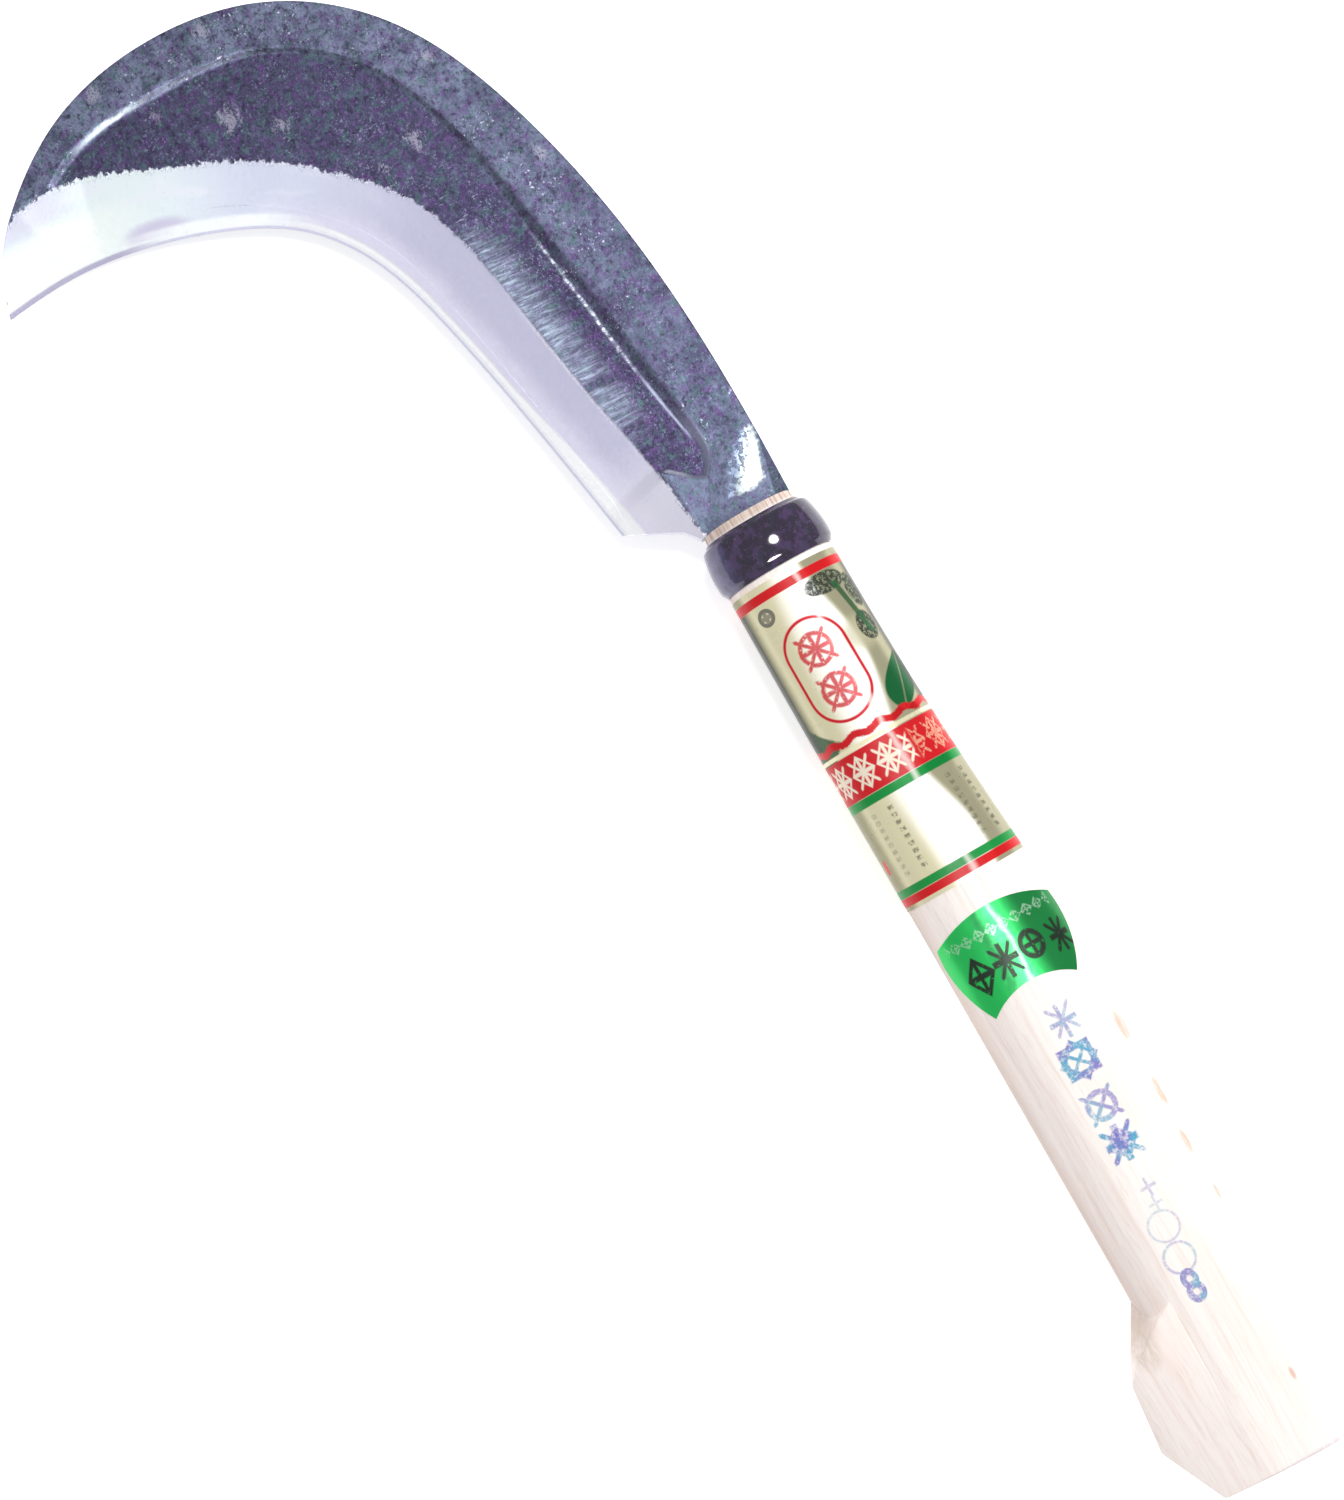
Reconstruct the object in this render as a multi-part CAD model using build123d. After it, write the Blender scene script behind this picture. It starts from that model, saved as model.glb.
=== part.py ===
from build123d import *
import math
import os

# Hand sickle: a hooked, laminated blade whose tang is held in an oval hardwood handle by a ferrule,
# a wedge and a cross pin, with a printed foil wrap and a foil seal round the grip. Millimetres.
#
# The tool is drawn in its own axes and then laid down on its back side:
#   drawing axes: +X along the handle from the blade to the butt, +Y towards the blade's spine,
#   +Z out of the ground side. X = 0 is the shoulder between neck and wood, Z = 0 the grip's middle.
#   row axes: the tool lies as it comes to rest on a table, on the ferrule, the tip and the butt, with
#   the origin on the table below the middle of its bounding box.

# ---- driving dimensions --------------------------------------------------------------------------
HANDLE_LENGTH = 278.0
BUTT_SLOPE = 2.0  # degrees off square
FERRULE_START = 2.6
FERRULE_END = 17.0

BACK_Z = -2.4
NECK_SIDE_Z = 2.4
DISTAL_TAPER = 0.0086
TAPER_DIRECTION = (-0.75, -0.66)
EDGE_LAND = 0.25
HOLLOW_DEPTH = 1.15
EDGE_STEEL_THICKNESS = 0.95
EDGE_STEEL_REACH = 1.12  # share of the bevel's width

NECK_SPINE_Y = 11.8
NECK_BACK_DROP = 0.6
NECK_CHAMFER = (4.0, 2.4)

TANG_LENGTH = 98.0
TANG_ROOT = (12.0, 5.4)
TANG_END = (7.5, 3.6)
TANG_Y = 0.4
PIN_X = 61.0
PIN_DIAMETER = 4.0
WEDGE_LENGTH = 42.0
WEDGE_THICKNESS = (3.2, 0.7)
WEDGE_WIDTH = 5.0

FOIL = 0.16
WRAP_START = 18.8
WRAP_END = 110.5

# ---- outlines in the drawing axes ----------------------------------------------------------------
TIP = (-142.9, -143.7)
SPINE = [
    (0.0, 11.8), (-38.0, 12.1), (-80.0, 9.2), (-126.0, -0.8), (-161.2, -17.5),
    (-182.5, -43.4), (-189.2, -75.0), (-182.6, -107.6), (-169.6, -126.8), (-152.8, -140.4),
]
EDGE = [
    (-144.2, -127.4), (-142.3, -107.0), (-135.0, -83.0), (-124.9, -65.3), (-108.3, -52.7),
    (-83.0, -44.5), (-50.0, -38.0), (-11.8, -31.8),
]
HEEL = [(-4.3, -17.7), (0.0, -14.4)]

# Swelling of the neck: place along the axis, where its front face ends towards the edge, where the
# slope beside it meets the blade, and the front face's height.
NECK_SECTIONS = [(-28.0, 8.0, 5.0, 2.25), (-16.5, 4.5, -3.0, 3.0), (0.0, 1.0, -14.4, 3.6)]

# Ground bevel: a point on the cutting edge, the point at the bevel's top, and how far down the
# forged hollow the top lies there (0 is the front face, 1 the hollow's floor).
BEVEL_STATIONS = [
    ((-141.8, -156.0), (-157.5, -146.5), 0.0),
    ((-143.9, -136.0), (-166.5, -128.5), 0.0),
    ((-143.0, -115.0), (-166.5, -109.0), 1.0),
    ((-138.5, -92.5), (-159.0, -91.0), 1.0),
    ((-130.0, -72.8), (-149.0, -69.2), 1.0),
    ((-118.5, -59.2), (-133.5, -49.2), 1.0),
    ((-103.0, -50.7), (-115.5, -34.6), 1.0),
    ((-83.0, -44.5), (-90.0, -27.2), 1.0),
    ((-62.0, -40.1), (-66.0, -23.6), 1.0),
    ((-38.0, -36.1), (-41.0, -19.4), 1.0),
    ((-11.8, -31.8), (-12.5, -13.6), 0.0),
    ((14.0, -27.5), (12.0, -10.0), -1.0),
]
# Forged hollow: its rim with the width of the sloping wall there, then the far side, which lies
# under the ground bevel.
HOLLOW_RIM = [
    ((-166.0, -122.0), 1.6), ((-174.6, -106.0), 2.4), ((-177.0, -81.0), 2.2), ((-173.6, -54.5), 1.4),
    ((-160.5, -33.8), 1.2), ((-136.4, -19.2), 1.6), ((-100.5, -10.7), 3.0), ((-60.2, -4.8), 4.0),
    ((-28.0, -1.0), 3.0), ((-18.0, -1.8), 1.8), ((-13.4, -5.2), 1.2),
]
HOLLOW_HEEL = ((-14.6, -8.0), 1.0)
HOLLOW_MIDDLE = (-120.0, -60.0)
HOLLOW_FAR_SIDE = [
    (-19.5, -13.5), (-32.0, -24.0), (-80.0, -34.0), (-118.0, -47.0), (-145.0, -75.0), (-155.0, -112.0),
]

# Oval sections: place along the axis, edge side, spine side, half thickness, squareness.
TENON_SECTIONS = [(0.0, -13.7, 11.8, 10.9, 2.3), (FERRULE_END, -15.2, 14.0, 12.4, 2.2)]
GRIP_SECTIONS = [
    (FERRULE_END, -15.9, 14.3, 13.0, 2.15),
    (65.0, -16.2, 15.2, 13.2, 2.15),
    (110.0, -16.2, 17.9, 13.6, 2.2),
    (163.0, -16.4, 20.4, 14.0, 2.3),
    (215.0, -16.6, 19.6, 14.0, 2.6),
    (260.0, -16.8, 16.2, 14.0, 3.2),
    (HANDLE_LENGTH + 2.0, -16.8, 15.2, 14.0, 3.6),
]
FERRULE_PROFILE = [  # share of the length, height over the tenon
    (0.0, 0.8), (0.08, 1.8), (0.25, 2.6), (0.5, 2.8), (0.75, 2.5), (0.92, 1.7), (1.0, 0.9),
]
# Butt flare: its outline on the back face, the middle plane and the front face.
FLARE_BACK = [
    (229.0, -10.0), (234.5, -14.4), (241.5, -22.0), (245.0, -26.6), (260.5, -28.4),
    (277.0, -20.6), (282.0, -10.0),
]
FLARE_MIDDLE = [
    (223.0, -10.0), (224.6, -16.6), (236.3, -23.6), (242.6, -26.6), (260.2, -28.6),
    (277.0, -20.8), (282.0, -10.0),
]
FLARE_FRONT = [
    (229.0, -10.0), (233.6, -16.4), (238.3, -24.0), (241.2, -27.9), (259.8, -29.8),
    (276.9, -21.4), (282.0, -10.0),
]
FLARE_HALF_HEIGHT = 15.0
FLARE_SHOULDER = (-10.0, 13.2)  # Y and Z where the sloping face leaves the grip
FLARE_SLOPE = 8.0  # degrees down to the corner

# Foil seal: a fan across the grip's front. Corners and the middles of its four curved sides.
SEAL_CORNERS = [(122.9, -15.0), (123.1, 17.2), (144.2, 13.1), (144.9, -10.7)]
SEAL_MIDDLES = [(118.4, 1.1), (134.0, 17.0), (140.4, 0.9), (136.0, -14.4)]

# ---- how the tool rests --------------------------------------------------------------------------
# Turns, in degrees, that bring the back sides of the tip, the ferrule and the butt down to one plane.
REST_ROLL = 4.95
REST_PITCH = 0.05

# ---- drawing aids --------------------------------------------------------------------------------
SECTION_POINTS = 24
WALL_OVERSHOOT = 1.0  # how far each cut is carried past the surface it ends on, as a share of it
EDGE_OVERSHOOT = 0.5
BEVEL_OVERSHOOT = 0.03
BEYOND = 20.0  # clear of the tool above and below
SMALL = 0.01


# ---- helpers -------------------------------------------------------------------------------------
def front_z(point):
    """Height of the blade's front face, which thins from the neck to the tip."""
    along = point[0] * TAPER_DIRECTION[0] + point[1] * TAPER_DIRECTION[1]
    return NECK_SIDE_Z - DISTAL_TAPER * along


def front_plane():
    slope_x = DISTAL_TAPER * TAPER_DIRECTION[0]
    slope_y = DISTAL_TAPER * TAPER_DIRECTION[1]
    return Plane(origin=(0, 0, NECK_SIDE_Z), z_dir=(slope_x, slope_y, 1))


def at_height(points, z):
    return [(x, y, z) for x, y in points]


def on_front(points, depth):
    """Points put this far below the front face."""
    return [(x, y, front_z((x, y)) - depth) for x, y in points]


def toward(start, end, share):
    return tuple(a + (b - a) * share for a, b in zip(start, end))


def oval_face(section, grow=0.0):
    """Superellipse across the handle at one place along it."""
    x, low, high, half_z, power = section
    half_y = (high - low) / 2 + grow
    points = []
    for i in range(SECTION_POINTS):
        angle = 2 * math.pi * i / SECTION_POINTS
        y = half_y * math.copysign(abs(math.cos(angle)) ** (2 / power), math.cos(angle))
        z = (half_z + grow) * math.copysign(abs(math.sin(angle)) ** (2 / power), math.sin(angle))
        points.append((x, (low + high) / 2 + y, z))
    return Face(Wire(Spline(*points, periodic=True).edges()))


def oval_loft(sections, grow=0.0):
    return loft([oval_face(section, grow) for section in sections])


def slice_along(solid, start, end):
    """The stretch of a solid between two places along the axis."""
    middle = (start + end) / 2
    return solid & Pos(middle, 0, 0) * Box(end - start, 4 * BEYOND, 4 * BEYOND)


# ---- blade ---------------------------------------------------------------------------------------
def blade_blank():
    """Forged blank: the hooked outline, flat at the back, thinning from the neck to the tip."""
    spine = Spline(*at_height([*SPINE, TIP], BACK_Z))
    edge = Spline(*at_height([TIP, *EDGE], BACK_Z))
    heel = Polyline(*at_height([EDGE[-1], *HEEL, SPINE[0]], BACK_Z))
    outline = Face(Wire([*spine.edges(), *edge.edges(), *heel.edges()]))
    blank = extrude(outline, amount=BEYOND, dir=(0, 0, 1))
    return split(blank, bisect_by=front_plane(), keep=Keep.BOTTOM)


def hollow_outline(inset, depth):
    """The hollow's outline this far down, moved in by this share of its wall's width."""
    moved = []
    for point, wall in [*HOLLOW_RIM, HOLLOW_HEEL]:
        moved.append(toward(point, HOLLOW_MIDDLE, inset * wall / math.dist(point, HOLLOW_MIDDLE)))
    rim = Spline(*on_front(moved[:-1], depth))
    rest = Polyline(*on_front([*moved[-2:], *HOLLOW_FAR_SIDE, moved[0]], depth))
    return Face(Wire([*rim.edges(), *rest.edges()]))


def hollow():
    """Forged hollow behind the bevel, with a sloping wall all along its rim."""
    over = -WALL_OVERSHOOT
    return loft([hollow_outline(over, over * HOLLOW_DEPTH), hollow_outline(1, HOLLOW_DEPTH)], ruled=True)


def bevel_cutter():
    """Everything over the ground bevel, which runs from the cutting edge up to the bevel's top."""
    faces = []
    for edge, top, share in BEVEL_STATIONS:
        low = (*edge, BACK_Z + EDGE_LAND)
        high = (*top, front_z(top) - share * HOLLOW_DEPTH)
        outer = toward(low, high, -EDGE_OVERSHOOT)
        inner = toward(low, high, 1 + BEVEL_OVERSHOOT)
        corners = [outer, inner, (inner[0], inner[1], BEYOND), (outer[0], outer[1], BEYOND)]
        faces.append(Face(Wire(Polyline(*corners, close=True).edges())))
    return loft(faces)


def neck():
    """Swelling that carries the blade into the handle, with a slope beside it towards the edge."""
    faces = []
    start = NECK_SECTIONS[0][0]
    for x, flat_end, slope_end, front in NECK_SECTIONS:
        back = BACK_Z - NECK_BACK_DROP * (1 - x / start)
        corners = [
            (x, slope_end, back), (x, NECK_SPINE_Y, back), (x, NECK_SPINE_Y, front),
            (x, flat_end, front), (x, slope_end, NECK_SECTIONS[0][3]),
        ]
        faces.append(Face(Wire(Polyline(*corners, close=True).edges())))
    return loft(faces, ruled=True)


def chamfer_plane():
    """Plane of the hand-cut chamfer along the neck's spine side, from its apex to the shoulder."""
    front = NECK_SECTIONS[-1][3]
    apex = Vector(NECK_SECTIONS[1][0], NECK_SPINE_Y, NECK_SECTIONS[1][3])
    top = Vector(0, NECK_SPINE_Y - NECK_CHAMFER[0], front)
    side = Vector(0, NECK_SPINE_Y, front - NECK_CHAMFER[1])
    return Plane(origin=apex, z_dir=(top - apex).cross(side - apex))


def tang():
    """Tapered tang, drilled across for the pin."""
    root = Plane.YZ * Pos(TANG_Y, 0, 0) * Rectangle(*TANG_ROOT)
    end = Plane.YZ.offset(TANG_LENGTH) * Pos(TANG_Y, 0, 0) * Rectangle(*TANG_END)
    return loft([root, end])


def pin_rod():
    return Pos(PIN_X, TANG_Y, 0) * Cylinder(PIN_DIAMETER / 2, 4 * BEYOND)


def whole_blade():
    """Body and edge steel as one solid, before the weld line parts them."""
    forged = split(blade_blank() + neck(), bisect_by=chamfer_plane(), keep=Keep.BOTTOM)
    return forged - hollow() - bevel_cutter() + tang() - pin_rod()


def edge_steel_zone():
    """Where the hard steel lies: a thin layer at the back, from tip to heel, just past the bevel."""
    outer = []
    inner = []
    for edge, top, _ in BEVEL_STATIONS[:-1]:
        outer.append(toward(edge, top, -EDGE_OVERSHOOT))
        inner.append(toward(edge, top, EDGE_STEEL_REACH))
    inner.reverse()
    start = BACK_Z - SMALL
    sides = [Spline(*at_height(outer, start)), Spline(*at_height(inner, start))]
    ends = [Line(*at_height([outer[-1], inner[0]], start)), Line(*at_height([inner[-1], outer[0]], start))]
    outline = Face(Wire([edge for line in [*sides, *ends] for edge in line.edges()]))
    return extrude(outline, amount=EDGE_STEEL_THICKNESS + SMALL, dir=(0, 0, 1))


# ---- handle --------------------------------------------------------------------------------------
def flare_block():
    """Flat-sided flare that keeps the hand from sliding off the butt."""
    faces = []
    for side, outline in enumerate((FLARE_BACK, FLARE_MIDDLE, FLARE_FRONT), start=-1):
        z = side * FLARE_HALF_HEIGHT
        faces.append(Face(Wire(Polyline(*at_height(outline, z), close=True).edges())))
    block = loft(faces, ruled=True)
    slope = math.radians(FLARE_SLOPE)
    for side in (1, -1):
        lean = Plane(
            origin=(0, FLARE_SHOULDER[0], side * FLARE_SHOULDER[1]),
            z_dir=(0, -math.sin(slope), side * math.cos(slope)),
        )
        block = split(block, bisect_by=lean, keep=Keep.BOTTOM)
    return block


def butt_plane():
    lean = math.radians(BUTT_SLOPE)
    return Plane(origin=(HANDLE_LENGTH, 0, 0), z_dir=(math.cos(lean), -math.sin(lean), 0))


def handle_stock():
    """Shaped wood, before the mortise and the pin hole are cut."""
    wood = oval_loft(TENON_SECTIONS) + oval_loft(GRIP_SECTIONS) + flare_block()
    return split(wood, bisect_by=butt_plane(), keep=Keep.BOTTOM)


def wedge():
    """Thin wedge driven into the mortise on the edge side of the tang."""
    side = TANG_Y - TANG_ROOT[0] / 2
    lean = (TANG_ROOT[0] - TANG_END[0]) / 2 * WEDGE_LENGTH / TANG_LENGTH
    corners = [
        (0, side), (WEDGE_LENGTH, side + lean),
        (WEDGE_LENGTH, side + lean - WEDGE_THICKNESS[1]), (0, side - WEDGE_THICKNESS[0]),
    ]
    outline = Face(Wire(Polyline(*at_height(corners, 0), close=True).edges()))
    return extrude(outline, amount=WEDGE_WIDTH / 2, dir=(0, 0, 1), both=True)


def ferrule():
    """Domed ring pressed on the tenon."""
    length = FERRULE_END - FERRULE_START
    faces = []
    for share, height in FERRULE_PROFILE:
        x = FERRULE_START + share * length
        tenon = toward(*TENON_SECTIONS, x / FERRULE_END)
        faces.append(oval_face(tenon, height))
    return loft(faces) - oval_loft(TENON_SECTIONS)


# ---- foils ---------------------------------------------------------------------------------------
def foil_skin(start, end):
    """Foil-thick skin round the grip between two places along it."""
    return slice_along(oval_loft(GRIP_SECTIONS, FOIL) - oval_loft(GRIP_SECTIONS), start, end)


def seal_prism():
    """Fan outline of the seal, standing up from the grip's middle plane."""
    arcs = []
    for start, middle, end in zip(SEAL_CORNERS, SEAL_MIDDLES, SEAL_CORNERS[1:] + SEAL_CORNERS[:1]):
        arcs.append(ThreePointArc(start, middle, end))
    return extrude(Face(Wire(arcs)), amount=BEYOND, dir=(0, 0, 1))


# ---- assembly ------------------------------------------------------------------------------------
def build():
    """All pieces in the drawing axes, by name."""
    blade = whole_blade()
    zone = edge_steel_zone()
    stock = handle_stock()
    steel_tang = tang()
    return {
        "blade_body": blade - zone,
        "edge_steel": blade & zone,
        "handle": stock - steel_tang - wedge() - pin_rod(),
        "ferrule": ferrule(),
        "tang_wedge": wedge(),
        "tang_pin": pin_rod() & stock,
        "label": foil_skin(WRAP_START, WRAP_END),
        "green_sticker": foil_skin(WRAP_END, WRAP_END + 3 * BEYOND) & seal_prism(),
    }


def laid_down(pieces):
    """The pieces as the tool rests, with the origin on the table below the bounding box's middle."""
    turned = {name: Rot(REST_ROLL, REST_PITCH, 0) * piece.solid() for name, piece in pieces.items()}
    box = Compound(list(turned.values())).bounding_box()
    shift = Pos(-box.center().X, -box.center().Y, -box.min.Z)
    return {name: shift * piece for name, piece in turned.items()}


if __name__ == "__main__":
    os.makedirs("parts", exist_ok=True)
    for name, piece in laid_down(build()).items():
        export_step(piece, f"parts/{name}.step")
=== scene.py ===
import functools
import math
import bmesh
import bpy
import numpy as np
from mathutils import Euler, Matrix, Vector, noise


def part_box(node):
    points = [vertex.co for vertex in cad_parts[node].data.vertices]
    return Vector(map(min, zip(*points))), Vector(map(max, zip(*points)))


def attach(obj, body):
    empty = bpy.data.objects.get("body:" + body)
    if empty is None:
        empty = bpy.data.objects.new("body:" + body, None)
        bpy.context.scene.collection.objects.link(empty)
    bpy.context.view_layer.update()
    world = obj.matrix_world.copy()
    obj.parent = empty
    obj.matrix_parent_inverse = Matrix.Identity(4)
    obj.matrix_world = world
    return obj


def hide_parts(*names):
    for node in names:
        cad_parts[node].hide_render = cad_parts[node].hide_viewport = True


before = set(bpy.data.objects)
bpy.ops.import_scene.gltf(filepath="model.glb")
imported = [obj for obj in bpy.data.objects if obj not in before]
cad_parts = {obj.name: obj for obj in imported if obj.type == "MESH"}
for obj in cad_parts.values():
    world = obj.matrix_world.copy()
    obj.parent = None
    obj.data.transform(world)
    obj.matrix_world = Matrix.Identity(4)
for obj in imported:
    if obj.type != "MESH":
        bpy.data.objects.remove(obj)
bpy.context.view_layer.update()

# Looks of the hand sickle. Every visible piece is skinned here from rings or grids of points, in
# millimetres and in the tool's own axes: +X along the handle from the blade to the butt, +Y towards
# the spine, +Z out of the ground side, with X = 0 at the end of the wood. One placement, worked out
# from the frame, lays them all down as the tool rests.

MM = 0.001

# ---- how the tool lies -----------------------------------------------------------------------------
REST_ROLL = 4.95  # degrees
REST_PITCH = 0.05
PIN_CENTRE = Vector((60.99, 0.4, -0.066))  # middle of the cross pin's box

# ---- blade -----------------------------------------------------------------------------------------
BACK_Z = -2.4
NECK_SIDE_Z = 2.4
DISTAL_TAPER = 0.0086
TAPER_DIRECTION = (-0.75, -0.66)
EDGE_LAND = 0.25
HOLLOW_DEPTH = 1.15
EDGE_STEEL_THICKNESS = 0.95
EDGE_STEEL_REACH = 1.12
NECK_SPINE_Y = 11.8
NECK_BACK_DROP = 0.6
NECK_CHAMFER = (4.0, 2.4)
NECK_SECTIONS = [(-28.0, 8.0, 5.0, 2.25), (-16.5, 4.5, -3.0, 3.0), (0.0, 1.0, -14.4, 3.6)]
TANG_LENGTH = 98.0
TANG_ROOT = (12.0, 5.4)
TANG_END = (7.5, 3.6)
TANG_Y = 0.4
CORNER_ROUND = 0.35

TIP = (-142.9, -143.62)
SPINE = [
    (0.0, 11.8), (-38.0, 12.1), (-80.0, 9.2), (-126.0, -0.8), (-161.2, -17.5),
    (-182.5, -43.4), (-189.2, -75.0), (-182.6, -107.6), (-169.6, -126.8), (-152.8, -140.4),
]
EDGE = [
    (-144.2, -127.4), (-142.3, -107.0), (-135.0, -83.0), (-124.9, -65.3), (-108.3, -52.7),
    (-83.0, -44.5), (-50.0, -38.0), (-11.8, -31.8),
]
HEEL = [(-4.3, -17.7), (0.0, -14.4)]
# Top of the ground bevel, with the share of the hollow's depth that it meets.
BEVEL_TOP = [
    ((-157.5, -146.5), 0.0), ((-166.5, -128.5), 0.0), ((-166.5, -109.0), 1.0), ((-159.0, -91.0), 1.0),
    ((-149.0, -69.2), 1.0), ((-133.5, -49.2), 1.0), ((-115.5, -34.6), 1.0), ((-90.0, -27.2), 1.0),
    ((-66.0, -23.6), 1.0), ((-41.0, -19.4), 1.0), ((-22.5, -15.7), 0.9), ((-19.0, -15.0), 0.1),
    ((-12.5, -13.6), 0.0), ((12.0, -10.0), -1.0),
]
EDGE_RUN_OUT = [(-141.8, -156.0), (14.0, -27.5)]  # the bevel's edge line beyond the tip and the heel
# Rim of the forged hollow with its wall's width, and the far side under the bevel.
HOLLOW_RIM = [
    ((-166.0, -122.0), 1.6), ((-174.6, -106.0), 2.4), ((-177.0, -81.0), 2.2), ((-173.6, -54.5), 1.4),
    ((-160.5, -33.8), 1.2), ((-136.4, -19.2), 1.6), ((-100.5, -10.7), 3.0), ((-60.2, -4.8), 4.0),
    ((-28.0, -1.0), 3.0), ((-18.0, -1.8), 1.8), ((-13.4, -5.2), 1.2),
]
HOLLOW_FAR_SIDE = [
    (-14.6, -8.0), (-19.5, -13.5), (-32.0, -24.0), (-80.0, -34.0), (-118.0, -47.0), (-145.0, -75.0),
    (-155.0, -112.0),
]
HEEL_WALL = 1.3  # the wall's width at the hollow's end, by the heel
HOLLOW_START_Y = -124.0  # the hollow reaches its depth over this way from its start, by the tip
HOLLOW_SINKING = 16.0
# Places on the lower outline and on the spine that one cross-section joins.
MATCHED = [
    (TIP, TIP), ((-143.9, -131.0), (-172.0, -124.0)), ((-143.3, -115.0), (-186.0, -98.0)),
    ((-139.5, -95.0), (-189.0, -72.0)), ((-131.0, -74.5), (-180.5, -39.5)),
    ((-118.5, -59.2), (-154.0, -12.5)), ((-103.0, -50.7), (-125.0, -0.5)), ((-83.0, -44.5), (-95.0, 6.7)),
    ((-38.0, -36.1), (-42.0, 12.1)), ((-11.8, -31.8), (-14.0, 11.9)), ((0.0, -14.4), (0.0, 11.8)),
]
BLADE_RINGS = 460
BLADE_ACROSS = 110
BACK_ACROSS = 40
STEEL_ACROSS = 14
LAMINATION_STEPS = 120
SHADED_FIELDS = ("edge", "along", "bevel", "rim", "wall")

# ---- handle ----------------------------------------------------------------------------------------
HANDLE_LENGTH = 278.0
BUTT_SLOPE = 2.0  # degrees
FERRULE_START = 2.6
FERRULE_END = 17.0
TENON_SECTIONS = [(0.0, -13.7, 11.8, 10.9, 2.3), (FERRULE_END, -15.2, 14.0, 12.4, 2.2)]
GRIP_SECTIONS = [
    (FERRULE_END, -15.9, 14.3, 13.0, 2.15), (65.0, -16.2, 15.2, 13.2, 2.15),
    (110.0, -16.2, 17.9, 13.6, 2.2), (163.0, -16.4, 20.36, 14.0, 2.3), (215.0, -16.6, 19.6, 14.0, 2.6),
    (260.0, -16.8, 16.2, 14.0, 3.2), (HANDLE_LENGTH + 2.0, -16.8, 15.2, 14.0, 3.6),
]
FERRULE_PROFILE = [
    (0.0, 0.8), (0.08, 1.8), (0.25, 2.6), (0.5, 2.78), (0.75, 2.5), (0.92, 1.7), (1.0, 0.9),
]
# The flare's outline at its back, its middle and its front.
FLARE_OUTLINES = [
    [(229.0, -10.0), (234.5, -14.4), (241.5, -22.0), (245.0, -26.6), (260.5, -28.4), (277.0, -20.6)],
    [(223.0, -10.0), (224.6, -16.6), (236.3, -23.6), (242.6, -26.6), (260.2, -28.6), (277.0, -20.8)],
    [(229.0, -10.0), (233.6, -16.4), (238.3, -24.0), (241.2, -27.9), (259.8, -29.8), (276.9, -21.4)],
]
FLARE_TOE = (282.0, -10.0)  # where all three end
FLARE_HALF_HEIGHT = 15.0
FLARE_SHOULDER = (-10.0, 13.2)
FLARE_SLOPE = 8.0  # degrees
FLARE_ROOT = -9.0  # how high up in the grip the flare's block starts
BUTT_EASE = 0.5
BUTT_SINK = 0.01  # how far the butt lies inside the handle's length
BUTT_LEAN_START = 255.0  # from here the grip's rings lean into the butt's slope
MORTISE_RELIEF = 2.8  # room under the tang for the wedge
MORTISE_SQUARENESS = 12.0
HANDLE_AROUND = 160

# ---- foils -----------------------------------------------------------------------------------------
FOIL = 0.16
WRAP_START = 18.8
WRAP_END = 110.5
WRAP_LAP = 0.12  # radians that the wrap's end lies over its start, on the back
WRAP_GRID = (120, 260)
SEAL_GRID = (90, 60)
SEAL_CORNERS = [(122.9, -15.0), (123.1, 17.2), (144.2, 13.1), (144.9, -10.7)]
SEAL_MIDDLES = [(118.4, 1.1), (134.0, 17.0), (140.4, 0.9), (136.0, -14.4)]

# ---- wear -------------------------------------------------------------------------------------------
# Spots where the scale has flaked: X, Y, size.
FLAKED_SPOTS = [
    (-160.0, -67.0, 3.0), (-183.5, -95.3, 2.4), (-130.4, -27.1, 2.6), (-152.0, -56.0, 2.0),
    (-184.0, -62.0, 2.4), (-110.0, 0.0, 2.0), (-148.0, -14.0, 2.2), (-128.0, -38.0, 1.6),
    (-171.0, -84.0, 1.5),
]
# The neck's flat, filed to bare metal and whitened by a painted highlight, anticlockwise.
FILED_FACET = [
    (-13.0, 0.8), (-5.6, -3.0), (-4.6, 3.8), (-5.6, 7.6), (-15.5, 11.3), (-19.8, 11.9), (-20.6, 8.8),
]

# ---- printing, all of it plain ornament --------------------------------------------------------------
# The wrap's stripes and panels, each from one X to another.
PICTURE = (23.2, 63.7)
START_STRIPE = (20.7, 23.2)
WAVY_STRIPE = (63.7, 65.7)
CREAM_LINE = (66.6, 67.7)
ORNAMENT_BAND = (68.0, 79.5)
PRINT_PANEL = (84.0, 103.0)
GREEN_STRIPES = [(79.6, 82.0), (104.8, 107.0)]
END_STRIPE = (107.1, 109.4)
# Marks on the wrap: their middle, as X and as the Y where it shows from the front, and their half sizes.
FOLIAGE = [((26.4, 7.6), (2.9, 6.4)), ((41.0, 11.8), (4.2, 3.4)), ((31.0, 13.2), (5.0, 2.6))]
LEAF = ((57.5, 12.0), (8.0, 6.0))
LEAF_SLOPE = 0.5
BANK = ((64.5, -15.9), (9.0, 10.5))
DISC = ((27.0, -10.5), (2.7, 2.9))
# Where the painted shine on the wrap's front is dimmed.
SOFT_SPOT = ((42.0, 8.6), (4.5, 5.0))
RED_MARK = ((98.0, -15.5), (2.2, 1.0))
FRAME_MIDDLE = (46.3, -3.4)
FRAME_RADIUS = 8.5
FRAME_STRAIGHT = 5.8
FLOWER_OFFSET = 5.9
FLOWER_RADIUS = 5.7
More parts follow.
